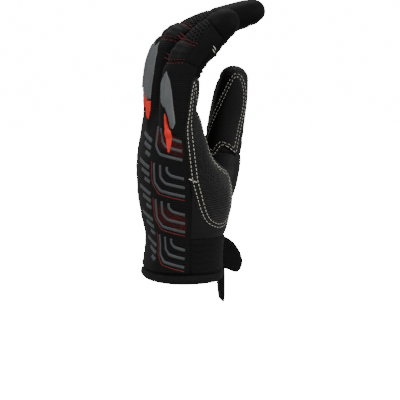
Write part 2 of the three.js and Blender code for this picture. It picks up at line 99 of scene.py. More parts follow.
class Limb:
    """A finger or the thumb: a bent spine with a rounded section and a domed tip."""

    def __init__(self, name, base, tilt, drift, length, turns, girth, facing=0.0, **seams):
        self.name, self.length, self.seams = name, length, seams
        self.girth = np.array(girth, float)
        self.tilt, self.drift, self.turns = tilt, drift, turns
        turn = math.radians(facing)
        self.forward = np.array([math.cos(turn), math.sin(turn), 0])
        self.side = np.array([-math.sin(turn), math.cos(turn), 0])
        steps = self.direction(np.arange(length) + 0.5)
        self.spine = np.array(base) + np.vstack([np.zeros(3), np.cumsum(steps, 0)])

    def direction(self, at):
        lean, aside = np.full(np.shape(at), float(self.tilt)), np.full(np.shape(at), float(self.drift))
        for middle, bend, over, sway in self.turns:
            done = smoothstep(middle - over / 2, middle + over / 2, at)
            lean += bend * done
            aside += sway * done
        lean, aside = np.radians(lean)[..., None], aside[..., None]
        return unit(self.forward * np.sin(lean) + UP * np.cos(lean) + self.side * aside)

    def axes(self, at):
        """The spine's point at a distance, and the directions along, across and out of the back."""
        at = np.clip(at, 0, self.length)
        along = self.direction(at)
        across = unit(self.side - along * dot(along, self.side)[..., None])
        whole = np.minimum(at.astype(int), len(self.spine) - 2)
        share = (at - whole)[..., None]
        place = self.spine[whole] * (1 - share) + self.spine[whole + 1] * share
        return place, along, across, np.cross(along, across)

    def half_sizes(self, at):
        tip = np.clip((at - self.length + TIP_LENGTH) / TIP_LENGTH, 0, 1)
        dome = np.sqrt(1 - tip * tip)
        return through(self.girth, 1, at), through(self.girth, 2, at), dome, tip

    def surface(self, at, angle, lift=0.0):
        """A point on the limb. Angle 0 is the back, 90 the thumb's side, and lift raises it."""
        at, angle = np.broadcast_arrays(np.asarray(at, float), np.asarray(angle, float))
        place, along, across, back = self.axes(at)
        width, depth, dome, tip = self.half_sizes(at)
        c = squared(np.cos(np.radians(angle)), FINGER_ROUNDNESS)
        s = squared(np.sin(np.radians(angle)), FINGER_ROUNDNESS)
        place = place + along * (lift * tip)[..., None] + back * ((depth + lift) * dome * c)[..., None]
        return place + across * ((width + lift) * dome * s)[..., None]

    def locate(self, points):
        """Distance along, angle round, and height above the limb's surface, for points near it."""
        gaps = (self.spine ** 2).sum(1) - 2 * points @ self.spine.T
        nearest = gaps.argmin(1).astype(float)
        place, along = self.axes(nearest)[:2]
        at = nearest + dot(points - place, along)
        place, along, across, back = self.axes(at)
        offset = points - place
        offset = offset - along * dot(offset, along)[:, None]
        width, depth, dome = self.half_sizes(np.clip(at, 0, self.length))[:3]
        c, s = dot(offset, back) / depth, dot(offset, across) / width
        power = FINGER_ROUNDNESS / 2
        angle = np.arctan2(np.sign(s) * np.abs(s) ** power, np.sign(c) * np.abs(c) ** power)
        ratio = (np.abs(c) ** FINGER_ROUNDNESS + np.abs(s) ** FINGER_ROUNDNESS) ** (1 / FINGER_ROUNDNESS)
        reach = np.linalg.norm(offset, axis=1)
        above = reach - reach / np.maximum(ratio, 1e-6) * np.maximum(dome, 0.05)
        return at, np.degrees(angle), above + np.maximum(-at, 0)


LITTLE = Limb(
    "little", (-9.5, -33, 110), -3, -0.08, 98, [(18, 10, 30, 0), (49, 38, 28, 0), (76, 6, 20, 0)],
    [(0, 9.6, 13), (45, 9.6, 12.5), (72, 9.2, 11.5), (88, 8.6, 9.5)],
    crease=40, band=46, mesh=59, cap=80, across=11.5, foot=113.4, guard_length=41,
)
RING = Limb(
    "ring", (-14.5, -11.5, 112), -1, -0.03, 129, [(30, 9, 30, 0), (57, 56, 28, 0), (90, 8, 22, 0)],
    LONG_GIRTH, crease=44, band=58, mesh=71, cap=94, across=12.5, foot=132, guard_length=41,
)
MIDDLE = Limb(
    "middle", (-12.5, 10.5, 113), -1, 0.02, 129, [(30, 9, 30, 0), (56, 56, 28, 0), (88, 9, 22, 0)],
    LONG_GIRTH, crease=44, band=58, mesh=71, cap=94, across=-11, foot=137, guard_length=37,
)
INDEX = Limb(
    "index", (-8, 32, 110), -1, 0.08, 118, [(28, 10, 30, 0), (54, 51, 28, 0), (84, 10, 22, 0)],
    [(0, 9.9, 13.5), (25, 9.9, 12.5), (80, 9.4, 10.4), (107, 9, 8.8)],
    crease=42, band=54, mesh=66, cap=87, across=-34, foot=132, guard_length=35,
)
THUMB = Limb(
    "thumb", (18.5, 22, 37), -22, 0.42, 123, [(39, 22, 44, -0.28), (85, 12, 25, 0)],
    [(0, 6, 6), (8, 11, 11), (23, 15, 14.5), (57, 14.3, 12.5), (98, 13.2, 11), (113, 11.3, 9.6)],
    facing=-95, start=57, cap=112,
)
FINGERS = [LITTLE, RING, MIDDLE, INDEX]
LIMBS = [*FINGERS, THUMB]


def hand_surface(at, angle, lift=0.0):
    """A point on the hand below the fingers. Angle 0 is the back, 90 the thumb's side."""
    at, angle = np.broadcast_arrays(np.asarray(at, float), np.asarray(angle, float))
    c = squared(np.cos(np.radians(angle)), HAND_ROUNDNESS)
    s = squared(np.sin(np.radians(angle)), HAND_ROUNDNESS)
    depth = np.where(c > 0, through(HAND, 2, at), through(HAND, 3, at)) + lift
    width = np.where(s > 0, through(HAND, 5, at), through(HAND, 4, at)) + lift
    return np.stack([through(HAND, 1, at) - depth * c, width * s, at], -1)


def hand_locate(points):
    """Angle round the hand, and height above its surface."""
    x, y, z = points.T
    c = through(HAND, 1, z) - x
    c = c / np.where(c > 0, through(HAND, 2, z), through(HAND, 3, z))
    s = y / np.where(y > 0, through(HAND, 5, z), through(HAND, 4, z))
    power = HAND_ROUNDNESS / 2
    angle = np.arctan2(np.sign(s) * np.abs(s) ** power, np.sign(c) * np.abs(c) ** power)
    ratio = (np.abs(c) ** HAND_ROUNDNESS + np.abs(s) ** HAND_ROUNDNESS) ** (1 / HAND_ROUNDNESS)
    reach = np.hypot(x - through(HAND, 1, z), y)
    above = reach - reach / np.maximum(ratio, 1e-6)
    return np.degrees(angle), np.maximum(above, 0) + np.maximum(z - HAND[-1, 0], 0)


def made(name, points, faces):
    """A Blender mesh object from points in millimetres."""
    mesh = bpy.data.meshes.new(name)
    corners = [tuple(face) for face in np.asarray(faces).tolist()]
    mesh.from_pydata((np.asarray(points) * MM).tolist(), [], corners)
    mesh.validate()
    mesh.shade_smooth()
    piece = bpy.data.objects.new(name, mesh)
    bpy.context.scene.collection.objects.link(piece)
    return piece


def closed_loft(rings):
    """Points and triangles of a tube through rings of points, closed at both ends."""
    count, sides = rings.shape[:2]
    points = np.vstack([rings.reshape(-1, 3), rings[0].mean(0), rings[-1].mean(0)])
    j = np.arange(sides)
    after = (j + 1) % sides
    faces = []
    for i in range(count - 1):
        low, high = i * sides, (i + 1) * sides
        faces.append(np.stack([low + j, high + j, high + after], 1))
        faces.append(np.stack([low + j, high + after, low + after], 1))
    start, end, last = count * sides, count * sides + 1, (count - 1) * sides
    faces.append(np.stack([np.full(sides, start), j, after], 1))
    faces.append(np.stack([np.full(sides, end), last + after, last + j], 1))
    return points, np.vstack(faces)


def worn_form():
    """The outer skin of the filled glove, as points in millimetres and triangles."""
    around = np.linspace(0, 360, RING_SIDES, endpoint=False)
    lofts = [closed_loft(hand_surface(HAND_RINGS[:, None], around))]
    for limb in LIMBS:
        dome = limb.length - TIP_LENGTH * (1 - np.sin(np.radians([20, 40, 55, 68, 78, 86])))
        rows = np.r_[np.arange(0, limb.length - TIP_LENGTH, 2), dome]
        lofts.append(closed_loft(limb.surface(rows[:, None], around)))
    points, faces, start = [], [], 0
    for some_points, some_faces in lofts:
        points.append(some_points)
        faces.append(some_faces + start)
        start += len(some_points)
    form = made("worn_form", np.vstack(points), np.vstack(faces))
    remesh = form.modifiers.new("remesh", "REMESH")
    remesh.mode = "VOXEL"
    remesh.voxel_size = VOXEL * MM
    smooth = form.modifiers.new("smooth", "SMOOTH")
    smooth.factor = 0.5
    smooth.iterations = SMOOTHED_TIMES
    finer = form.modifiers.new("finer", "SUBSURF")
    finer.levels = 1
    mesh = bpy.data.meshes.new_from_object(form.evaluated_get(bpy.context.evaluated_depsgraph_get()))
    mesh.calc_loop_triangles()
    points = np.empty(len(mesh.vertices) * 3, np.float32)
    mesh.vertices.foreach_get("co", points)
    faces = np.empty(len(mesh.loop_triangles) * 3, np.int32)
    mesh.loop_triangles.foreach_get("vertices", faces)
    bpy.data.objects.remove(form)
    bpy.data.meshes.remove(mesh)
    return points.reshape(-1, 3).astype(float) / MM, faces.reshape(-1, 3)


def vertex_normals(points, faces):
    a, b, c = points[faces].transpose(1, 0, 2)
    facing = np.cross(b - a, c - a)
    normals = np.zeros_like(points)
    for k in range(3):
        np.add.at(normals, faces[:, k], facing)
    return unit(normals)


# Where the panels are sewn together. The side seams run up the edges of the hand and on up each finger; the
# other seams cross a finger or the wrist. Each is the zero line of a distance in millimetres, and the skin's
# triangles are split along it.
SIDE_SEAM_X = -1.6
BINDING_HEIGHT = 7
ELASTIC_TOP = 33
BACK_EDGE = 78
BACK_EDGE_AT_CAP = 56
FRONT_EDGE = 131
THUMB_EDGE = 95
FINGER_RADIUS = 11
THUMB_RADIUS = 13
SEAM_BLEND = 2.0
SEAM_SLANT = 5.0
ON_THE_LINE = 0.12
THUMB_PART, HAND_PART = len(FINGERS), len(LIMBS)


def locate(points):
    """For each point: its limb or HAND_PART, the distance along it, the angle round it, the side seam's
    level, which is above 0 on the palm's side, and the angle round the hand."""
    hand_angle, hand_above = hand_locate(points)
    found = [limb.locate(points) for limb in LIMBS]
    above = np.stack([np.maximum(f[2], 0) for f in found] + [hand_above], 1)
    part = above.argmin(1)
    rows = np.arange(len(points))
    at = np.stack([f[0] for f in found] + [points[:, 2]], 1)[rows, part]
    angle = np.stack([f[1] for f in found] + [hand_angle], 1)[rows, part]
    across_hand = points[:, 0] - SIDE_SEAM_X
    weight = np.exp(-above / SEAM_BLEND) + 1e-9
    levels = [(np.abs(f[1]) - FRONT_EDGE) * math.radians(FINGER_RADIUS) for f in found[:-1]]
    levels = np.stack([*levels, across_hand, across_hand], 1)
    seam = (levels * weight).sum(1) / weight.sum(1)
    return np.stack([part, at, angle, seam, hand_angle], 1)


PART, AT, ANGLE, SEAM, HAND_ANGLE = range(5)


def slant(angle):
    """How much further along a finger a knuckle band's seams run at this angle than on the back."""
    return SEAM_SLANT * (1 - np.cos(np.radians(np.minimum(np.abs(angle), BACK_EDGE))))


def back_edge(limb, at):
    """The angle of the seam beside a finger's back: the air mesh narrows towards the fingertip."""
    return BACK_EDGE - (BACK_EDGE - BACK_EDGE_AT_CAP) * smoothstep(limb.seams["mesh"], limb.seams["cap"], at)


def split(points, faces, level, chosen=None):
    """Triangles split where a level, one number a point, crosses zero. New points come last."""
    level = np.where(np.abs(level) < ON_THE_LINE, 0, level)
    sign = np.sign(level)[faces]
    crossed = (sign.min(1) < 0) & (sign.max(1) > 0)
    if chosen is not None:
        crossed &= chosen
    work, sign, result = faces[crossed], sign[crossed], [faces[~crossed]]
    ends = np.concatenate([work[:, [0, 1]], work[:, [1, 2]], work[:, [2, 0]]])
    cut = np.concatenate([sign[:, k] * sign[:, (k + 1) % 3] for k in range(3)]) < 0
    edges, which = np.unique(np.sort(ends[cut], 1), axis=0, return_inverse=True)
    share = (level[edges[:, 0]] / (level[edges[:, 0]] - level[edges[:, 1]]))[:, None]
    new_points = points[edges[:, 0]] * (1 - share) + points[edges[:, 1]] * share
    middle = np.full(len(ends), -1)
    middle[cut] = len(points) + which.ravel()
    middle = middle.reshape(3, -1).T
    for i, j, k in [(0, 1, 2), (1, 2, 0), (2, 0, 1)]:
        lone = (sign[:, i] * sign[:, j] < 0) & (sign[:, i] * sign[:, k] < 0)
        v, p, q = work[lone], middle[lone, i], middle[lone, k]
        result += [np.stack(t, 1) for t in [(v[:, i], p, q), (p, v[:, j], v[:, k]), (p, v[:, k], q)]]
        passing = (sign[:, i] * sign[:, j] < 0) & (sign[:, k] == 0)
        v, p = work[passing], middle[passing, i]
        result += [np.stack(t, 1) for t in [(v[:, i], p, v[:, k]), (p, v[:, j], v[:, k])]]
    return np.vstack([points, new_points]), np.vstack(result)


class Skin:
    """The glove's outer skin, with where each of its points is on the hand."""

    def __init__(self, points, faces):
        self.points, self.faces, self.place = points, faces, locate(points)

    def sew_line(self, level, chosen=None):
        before = len(self.points)
        self.points, self.faces = split(self.points, self.faces, level, chosen)
        if len(self.points) > before:
            self.place = np.vstack([self.place, locate(self.points[before:])])

    def on(self, part, low=None, high=None):
        """The triangles that lie wholly on one limb, between two distances along it."""
        part_of, at = self.place[self.faces, PART], self.place[self.faces, AT].mean(1)
        chosen = (part_of == part).all(1)
        if low is not None:
            chosen &= (at > low) & (at < high)
        return chosen


skin = Skin(*worn_form())
for height in [0, BINDING_HEIGHT, ELASTIC_TOP]:
    skin.sew_line(skin.points[:, 2] - height)
skin.sew_line(skin.place[:, SEAM])
for part, limb in enumerate(FINGERS):
    for line in ["crease", "cap"]:
        skin.sew_line(skin.place[:, AT] - limb.seams[line], skin.on(part))
    for line in ["band", "mesh"]:
        skin.sew_line(skin.place[:, AT] - slant(skin.place[:, ANGLE]) - limb.seams[line], skin.on(part))
    edge = (np.abs(skin.place[:, ANGLE]) - back_edge(limb, skin.place[:, AT])) * math.radians(FINGER_RADIUS)
    skin.sew_line(edge, skin.on(part, limb.seams["band"], limb.seams["cap"]))
for line in ["start", "cap"]:
    skin.sew_line(skin.place[:, AT] - THUMB.seams[line], skin.on(THUMB_PART))
edge = (np.abs(skin.place[:, ANGLE]) - THUMB_EDGE) * math.radians(THUMB_RADIUS)
skin.sew_line(edge, skin.on(THUMB_PART, THUMB.seams["start"], THUMB.seams["cap"]))

skin_normals = vertex_normals(skin.points, skin.faces)
face_place = locate(skin.points[skin.faces].mean(1))
face_height = skin.points[skin.faces, 2].mean(1)
face_part, face_at, face_angle = face_place[:, PART], face_place[:, AT], face_place[:, ANGLE]
face_slanted = face_at - slant(face_angle)
palm_side = face_place[:, SEAM] > 0
on_finger = face_part < len(FINGERS)
on_thumb = face_part == THUMB_PART
above_cuff = face_height > BINDING_HEIGHT


# Cutting and thickness of a panel. Cloth and leather here are about 1.3 mm thick. Each edge is turned in at
# the seam, so a panel sinks at its border and stands a little proud in its middle.
PANEL_THICKNESS = 1.3
TURNED_IN = 0.55
TURN_WIDTH = 0.9
PUFF = 0.4
PUFF_REACH = 3.5
NARROWEST_CUT = 0.01
MOSTLY_SEEN = 0.8


def border_edges(faces):
    """The directed edges that only one triangle uses."""
    ends = np.concatenate([faces[:, [0, 1]], faces[:, [1, 2]], faces[:, [2, 0]]])
    scale = int(faces.max()) + 1
    forward, backward = ends[:, 0] * scale + ends[:, 1], ends[:, 1] * scale + ends[:, 0]
    return ends[~np.isin(forward, backward)]


def border_distance(points, faces):
    """How far each point is from the nearest border of its panel."""
    border = np.unique(border_edges(faces))
    tree = KDTree(len(border))
    for i, point in enumerate(points[border]):
        tree.insert(point, i)
    tree.balance()
    return np.array([tree.find(point)[2] for point in points])


def compact(faces, *columns):
    used, faces = np.unique(faces, return_inverse=True)
    return faces.reshape(-1, 3), *[column[used] for column in columns]


def finer(points, faces, normals, place):
    """Each triangle split into four."""
    ends = np.sort(np.concatenate([faces[:, [0, 1]], faces[:, [1, 2]], faces[:, [2, 0]]]), 1)
    edges, which = np.unique(ends, axis=0, return_inverse=True)
    ab, bc, ca = (which.ravel() + len(points)).reshape(3, -1)
    a, b, c = faces.T
    points = np.vstack([points, points[edges].mean(1)])
    normals = np.vstack([normals, unit(normals[edges].mean(1))])
    faces = np.vstack([np.stack(t, 1) for t in [(a, ab, ca), (b, bc, ab), (c, ca, bc), (ab, bc, ca)]])
    return points, faces, normals, np.vstack([place, locate(points[len(place):])])


def thick_sheet(name, outer, inner, faces, lay):
    """A closed piece between an outer and an inner skin with the same triangles, with a rim round its border.

    Its material reads lay: millimetres round, along and in from the border.
    """
    count = len(outer)
    edges = border_edges(faces)
    a, b = edges.T
    rim = np.vstack([np.stack([b, a, a + count], 1), np.stack([b, a + count, b + count], 1)])
    piece = made(name, np.vstack([outer, inner]), np.vstack([faces, faces[:, ::-1] + count, rim]))
    layer = piece.data.attributes.new("lay", "FLOAT_VECTOR", "POINT")
    layer.data.foreach_set("vector", np.concatenate([lay, lay]).astype(np.float32).ravel())
    return piece


def panel(name, chosen, relief, fine=0, puff=PUFF, lay=None):
    """A sewn panel: the chosen triangles of the skin, raised by a relief, with its own thickness."""
    faces, points, normals, place = compact(skin.faces[chosen], skin.points, skin_normals, skin.place)
    for _ in range(fine):
        points, faces, normals, place = finer(points, faces, normals, place)
    border = border_distance(points, faces)
    lift = puff * (1 - np.exp(-(border / PUFF_REACH) ** 2)) - TURNED_IN * np.exp(-(border / TURN_WIDTH) ** 2)
    lift = lift + relief(points, place, border)
    around = np.where(place[:, PART] < HAND_PART, place[:, ANGLE] * math.radians(FINGER_RADIUS), 0)
    flat = np.stack([around, place[:, AT], border], 1) if lay is None else lay(points, place, border)
    outer = points + normals * lift[:, None]
    inner = points - normals * PANEL_THICKNESS
    return thick_sheet(name, outer, inner, faces, flat)


def area_of(piece):
    """The area of one side of a thin closed piece, in square metres."""
    return sum(face.area for face in piece.data.polygons) / 2


def sewn(piece, *nodes, slot, finish, length, rests_on, held="stretched"):
    """A cloth or leather piece in its place: it rides on the glove and stands for its CAD solids."""
    piece.data.materials.append(finish)
    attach(piece, "root")
    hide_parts(*nodes)
    area = area_of(piece)
    wide = max(area / length, NARROWEST_CUT)
    long = min(length, area / (MOSTLY_SEEN * wide))


# The cuff binding: a black woven tape, folded over the wrist's cut edge and sewn down all round with one row.
# It is 7 mm high, and fuller over the back of the wrist.
BINDING_ROLL = 1.7
BINDING_FULLNESS = 0.5
BINDING_ROW = 1.9
ROW_SINK, ROW_WIDTH = 0.55, 0.55
WRIST_DEPTH = 28
HAND_RADIUS = 36
WEAVE_PITCH = 0.9


class Wire:
    """One output of a material's nodes, so that shader maths reads as maths."""

    def __init__(self, finish, socket):
        self.finish, self.socket = finish, socket

    def math(self, operation, other=0.0, first=None):
        values = [self, other] if first is None else [first, self]
        return self.finish.node("ShaderNodeMath", {"operation": operation}, dict(enumerate(values)))

    def __add__(self, other):
        return self.math("ADD", other)

    def __sub__(self, other):
        return self.math("SUBTRACT", other)

    def __mul__(self, other):
        return self.math("MULTIPLY", other)

    def __truediv__(self, other):
        return self.math("DIVIDE", other)

    def __rsub__(self, other):
        return self.math("SUBTRACT", first=other)

    __radd__, __rmul__ = __add__, __mul__

    def parts(self):
        """Every output of this one's node."""
        return [Wire(self.finish, output) for output in self.socket.node.outputs]

    def step(self, low, high):
        """0 below low and 1 above high, with a smooth rise between."""
        settings = {"interpolation_type": "SMOOTHSTEP"}
        return self.finish.node("ShaderNodeMapRange", settings, {0: self, 1: low, 2: high})


class Finish:
    """A material, with one method that adds any node."""

    def __init__(self, name, **constants):
        self.material = bpy.data.materials.new(name)
        self.material.use_nodes = True
        self.tree = self.material.node_tree
        self.shader = self.tree.nodes["Principled BSDF"]
        for key, value in constants.items():
            self.shader.inputs[key.replace("_", " ")].default_value = value

    def node(self, kind, settings=None, sockets=None, output=0):
        added = self.tree.nodes.new(kind)
        for key, value in (settings or {}).items():
            setattr(added, key, value)
        for key, value in (sockets or {}).items():
            if isinstance(value, Wire):
                self.tree.links.new(value.socket, added.inputs[key])
            else:
                added.inputs[key].default_value = value
        return Wire(self, added.outputs[output])

    def lay(self):
        """Millimetres round, along and from the border of a panel."""
        kept = self.node("ShaderNodeAttribute", {"attribute_name": "lay"}, output=1)
        return self.node("ShaderNodeSeparateXYZ", {}, {0: kept}).parts()

    def place(self):
        """Millimetres in the glove's own frame."""
        where = self.node("ShaderNodeTexCoord", output=3)
        return self.node("ShaderNodeVectorMath", {"operation": "SCALE"}, {0: where, 3: 1000.0})

    def noise(self, at, size, detail=3.0, rough=0.55):
        sockets = {"Vector": at, "Scale": 1 / size, "Detail": detail, "Roughness": rough}
        return self.node("ShaderNodeTexNoise", {}, sockets)

    def cells(self, at, size):
        return self.node("ShaderNodeTexVoronoi", {}, {"Vector": at, "Scale": 1 / size})

    def mixed(self, share, low, high):
        return self.node("ShaderNodeMix", {"data_type": "RGBA"}, {0: share, 6: low, 7: high}, output=2)

    def feed(self, socket, wire):
        self.tree.links.new(wire.socket, self.shader.inputs[socket])

    def bump(self, height, distance):
        sockets = {"Strength": 1.0, "Distance": distance * MM, "Height": height}
        self.feed("Normal", self.node("ShaderNodeBump", {}, sockets))


def grey(value, tint=(1, 1, 1)):
    return (value * tint[0], value * tint[1], value * tint[2], 1)


def webbing_finish():
    finish = Finish("woven_tape", Roughness=0.8, Specular_IOR_Level=0.3)
    around, along, _ = finish.lay()
    warp = (around * (math.tau / WEAVE_PITCH)).math("SINE")
    weft = (along * (math.tau / WEAVE_PITCH)).math("SINE")
    weave = warp * weft
    wear = finish.noise(finish.place(), 6.0)
    share = (weave * 0.25 + 0.4) * (wear + 0.4)
    finish.feed("Base Color", finish.mixed(share, grey(0.0012), grey(0.009, (1, 1, 1.08))))
    finish.bump(weave, 0.12)
    return finish.material


def binding_relief(points, place, border):
    height = np.clip(points[:, 2] / BINDING_HEIGHT, 0, 1)
    fuller = 1 + BINDING_FULLNESS * np.clip(-points[:, 0] / WRIST_DEPTH, 0, 1)
    roll = BINDING_ROLL * fuller * np.sin(np.pi * height) ** 0.5
    return roll - ROW_SINK * np.exp(-((points[:, 2] - BINDING_ROW) / ROW_WIDTH) ** 2)


def round_the_hand(points, place, border):
    return np.stack([place[:, HAND_ANGLE] * math.radians(HAND_RADIUS), points[:, 2], border], 1)


webbing = webbing_finish()
on_binding = (face_height > 0) & (face_height < BINDING_HEIGHT)
binding = panel("binding_tape", on_binding, binding_relief, puff=0.1, lay=round_the_hand)
sewn(
    binding, "cuff_binding", slot="webbing", finish=webbing, held="folded", rests_on="back_panel", length=0.22
)


# The wrist elastic: a knit tunnel sewn across the palm side of the wrist, between binding and leather. Rubber
# threads inside it draw it up into level gathers.
GATHER_PITCH = 4.4
GATHER_DEPTH = 0.45
GATHER_FADE = 2.5
HEM_ROLL = 1.1
HEM_RISE = 2.5
HEM_WIDTH = 1.8


def hem_relief(points, border):
    """The turned hem that the knit ends in, a soft roll just above the binding."""
    above = (points[:, 2] - BINDING_HEIGHT - HEM_RISE) / HEM_WIDTH
    return HEM_ROLL * np.exp(-above ** 2) * np.clip(border / 0.8, 0, 1)


def knit_finish(name, rib_pitch, rib_depth, low, high, tint, sheen, along_ribs=False, printed_on=None):
    """Stretch knit with fine ribs: black yarn, with a painted highlight on the top of each rib and painted
    shade between the ribs.
    """
    finish = Finish(name, Roughness=0.75, Specular_IOR_Level=0.2, Sheen_Weight=sheen, Sheen_Roughness=0.45)
    around, along, _ = finish.lay()
    wobble = finish.noise(finish.place(), 3.0)
    across, run = (along, around) if along_ribs else (around, along)
    rib = ((across * (math.tau / rib_pitch)) + wobble * 1.4).math("SINE")
    loop = (run * (math.tau / (rib_pitch * 0.8))).math("SINE")
    relief = rib * 0.5 + loop * 0.22
    patchy = finish.noise(finish.place(), 14.0)
    # The colour share is a painted highlight on the rib tops and painted shade in the grooves, times random
    # patches.
    share = (relief * 0.35 + 0.42) * (patchy * 0.9 + 0.35)
    colour = finish.mixed(share, grey(low), grey(high, tint))
    if printed_on:
        colour = printed_on(finish, colour, around, along)
    finish.feed("Base Color", colour)
    finish.feed("Roughness", 0.62 + patchy * 0.25)
    finish.bump(relief, rib_depth)
    return finish.material


def elastic_relief(points, place, border):
    z = points[:, 2] + 0.8 * np.sin(place[:, HAND_ANGLE] * 0.11) + 0.5 * np.sin(place[:, HAND_ANGLE] * 0.31)
    wave = np.cos(z * math.tau / GATHER_PITCH)
    gathers = GATHER_DEPTH * (0.5 + 0.5 * wave) * np.clip(border / GATHER_FADE, 0, 1)
    return gathers + 0.6 * hem_relief(points, border)


knit = knit_finish("stretch_knit", 1.3, 0.2, 0.001, 0.0065, (1, 1.02, 1.15), 0.02, along_ribs=True)
on_elastic = above_cuff & (face_height < ELASTIC_TOP) & palm_side
elastic = panel("elastic_knit", on_elastic, elastic_relief, puff=0.2, lay=round_the_hand)
sewn(
    elastic, "wrist_elastic", slot="knit", finish=knit, held="gathered", rests_on="cuff_binding", length=0.11
)


# The back panel: one piece of ribbed stretch knit over the back of the hand, which runs up between the
# fingers and is sewn to the leather palm along both side seams. Fine red dots are printed on it in bands.
WRIST_FOLD, WRIST_FOLD_PITCH = 0.15, 5.2
DRAPE = 0.35
DRAPE_FADE = 5
DOT_BAND = 54
DOT_SHARE = 0.75
DOT_RED = (0.2, 0.008, 0.008, 1)
DOTS_ROUND = (20.0, 26.0, 48.0, 53.0)
DOTS_ALONG = (14.0, 22.0, 108.0, 116.0)


def between(wire, limits):
    """1 between the middle two of four limits, and 0 outside the other two."""
    return wire.step(*limits[:2]) * (1 - wire.step(*limits[2:]))


def red_dots(finish, cloth, around, along):
    """Fine red speckle over the cloth, in slanted bands up both sides of the back."""
    side = around.math("ABSOLUTE")
    dots = finish.noise(finish.place(), 0.5, 1.0).step(0.5, 0.62)
    band = ((along + side * 0.35) * (math.tau / DOT_BAND) + 0.6).math("SINE").step(0.55, 1.0)
    share = dots * band * between(side, DOTS_ROUND) * between(along, DOTS_ALONG) * DOT_SHARE
    return finish.mixed(share, cloth, DOT_RED)


def back_relief(points, place, border):
    y, z = points[:, 1], points[:, 2]
    folds = np.cos(z * math.tau / WRIST_FOLD_PITCH + 0.6 * np.sin(y * 0.12))
    wrist = WRIST_FOLD * np.exp(-((z - 20) / 12) ** 2) * folds
    drape = DRAPE * np.sin(z * 0.085 + y * 0.05) * np.sin(y * 0.11 - z * 0.03)
    return (wrist + drape) * np.clip(border / DRAPE_FADE, 0, 1) + hem_relief(points, border)


def below_seam(line, at):
    """The triangles on the fingers that are below this seam of their own finger."""
    ends = np.array([limb.seams[line] for limb in FINGERS])
    return on_finger & (at < ends[np.minimum(face_part, len(FINGERS) - 1).astype(int)])


on_back = above_cuff & ~palm_side & ~on_thumb & (~on_finger | below_seam("band", face_slanted))
back_knit = panel("back_knit", on_back, back_relief, puff=0.9, lay=round_the_hand)
printed_knit = knit_finish("printed_knit", 1.3, 0.2, 0.001, 0.006, (1, 1.02, 1.15), 0.015, True, red_dots)
sewn(back_knit, "back_panel", slot="knit", finish=printed_knit, rests_on="cuff_binding", length=0.19)


# The palm panel: black synthetic leather from the wrist elastic to the first crease of each finger. It is one
# piece, sewn to the knit along the side seams, and it folds where the palm closes.
PALM_FOLD = 0.5
FOLD_SPREAD = 20
PALM_WRIST_FOLD, PALM_WRIST_PITCH = 0.1, 4.6
HOLLOW_UNDER_FINGERS = 0.9
PALM_FADE = 3


def leather_finish(name, low, high, roughness, grain, shine=0.3):
    finish = Finish(name, Specular_IOR_Level=shine)
    where = finish.place()
    cells = finish.cells(where, grain)
    fine = finish.noise(where, 0.5, 4.0)
    broad = finish.noise(where, 16.0)
    relief = cells * 0.6 + fine * 0.4
    share = (1 - cells) * 0.35 + broad * 0.6
    finish.feed("Base Color", finish.mixed(share, grey(low), grey(high, (1, 1, 0.98))))
    finish.feed("Roughness", roughness + (broad - 0.5) * 0.2 + cells * 0.1)
    finish.bump(relief, 0.1)
    return finish.material


def palm_relief(points, place, border):
    y, z = points[:, 1], points[:, 2]
    mid_palm = np.exp(-(np.hypot(y + 2, (z - 92) * 0.6) / FOLD_SPREAD) ** 2)
    folds = PALM_FOLD * np.sin((z - 0.5 * y) * 0.55) * mid_palm
    by_wrist = np.exp(-((z - 36) / 6) ** 2) * np.cos(z * math.tau / PALM_WRIST_PITCH + 0.08 * y)
    hollow = HOLLOW_UNDER_FINGERS * smoothstep(98, 122, z)
    return (folds + PALM_WRIST_FOLD * by_wrist - hollow) * np.clip(border / PALM_FADE, 0, 1)


leather = leather_finish("soft_leather", 0.0012, 0.006, 0.52, 0.9)
on_thumb_root = on_thumb & (face_at < THUMB.seams["start"])
on_palm = (face_part == HAND_PART) | on_thumb_root | below_seam("crease", face_at)
on_palm &= palm_side & (face_height > ELASTIC_TOP)
palm = panel("palm_leather", on_palm, palm_relief, puff=0.8)
sewn(palm, "palm_panel", slot="leather", finish=leather, rests_on="wrist_elastic", length=0.15)


# The fingers. Over each knuckle sits a smooth padded band, then a hexagon air mesh up the back, with knit
# strips down both sides, and a leather front that closes over the fingertip.
HEXAGON = 2.9
HOLE_DEPTH = 0.45
BAND_BULGE = 0.45
PLEAT_DEPTH, PLEAT_PITCH = 0.24, 4.3
CAP_STEP = 0.35
FRONT_FOLD = 0.25
BUNCHING, BUNCH_PITCH = 0.6, 5.2
TACK_LUMP = 1.3
STRIP_RIB, STRIP_RIB_PITCH = 0.12, 1.9


def hexagon_edge(u, v):
    """How near a place is to the edge of its hexagon: 0 in the middle and 1 on the rib between two holes."""
    tall = math.sqrt(3)
    best = None
    for shift in (0.0, 0.5):
        a = np.mod(u / HEXAGON + shift, 1) - 0.5
        b = np.mod(v / HEXAGON + shift * tall, tall) - tall / 2
        far = np.maximum(np.abs(a), np.abs(a) * 0.5 + np.abs(b) * tall / 2) * 2
        best = far if best is None else np.minimum(best, far)
    return best


def mesh_relief(points, place, border):
    edge = hexagon_edge(place[:, ANGLE] * math.radians(FINGER_RADIUS), place[:, AT])
    hole = 1 - smoothstep(0.6, 0.85, edge)
    return -HOLE_DEPTH * hole * np.clip(border / 1.2, 0, 1)


def band_relief(points, place, border):
    pleat = PLEAT_DEPTH * np.cos((place[:, AT] - slant(place[:, ANGLE])) * math.tau / PLEAT_PITCH)
    return (BAND_BULGE + pleat) * (1 - np.exp(-(border / 2.6) ** 2))


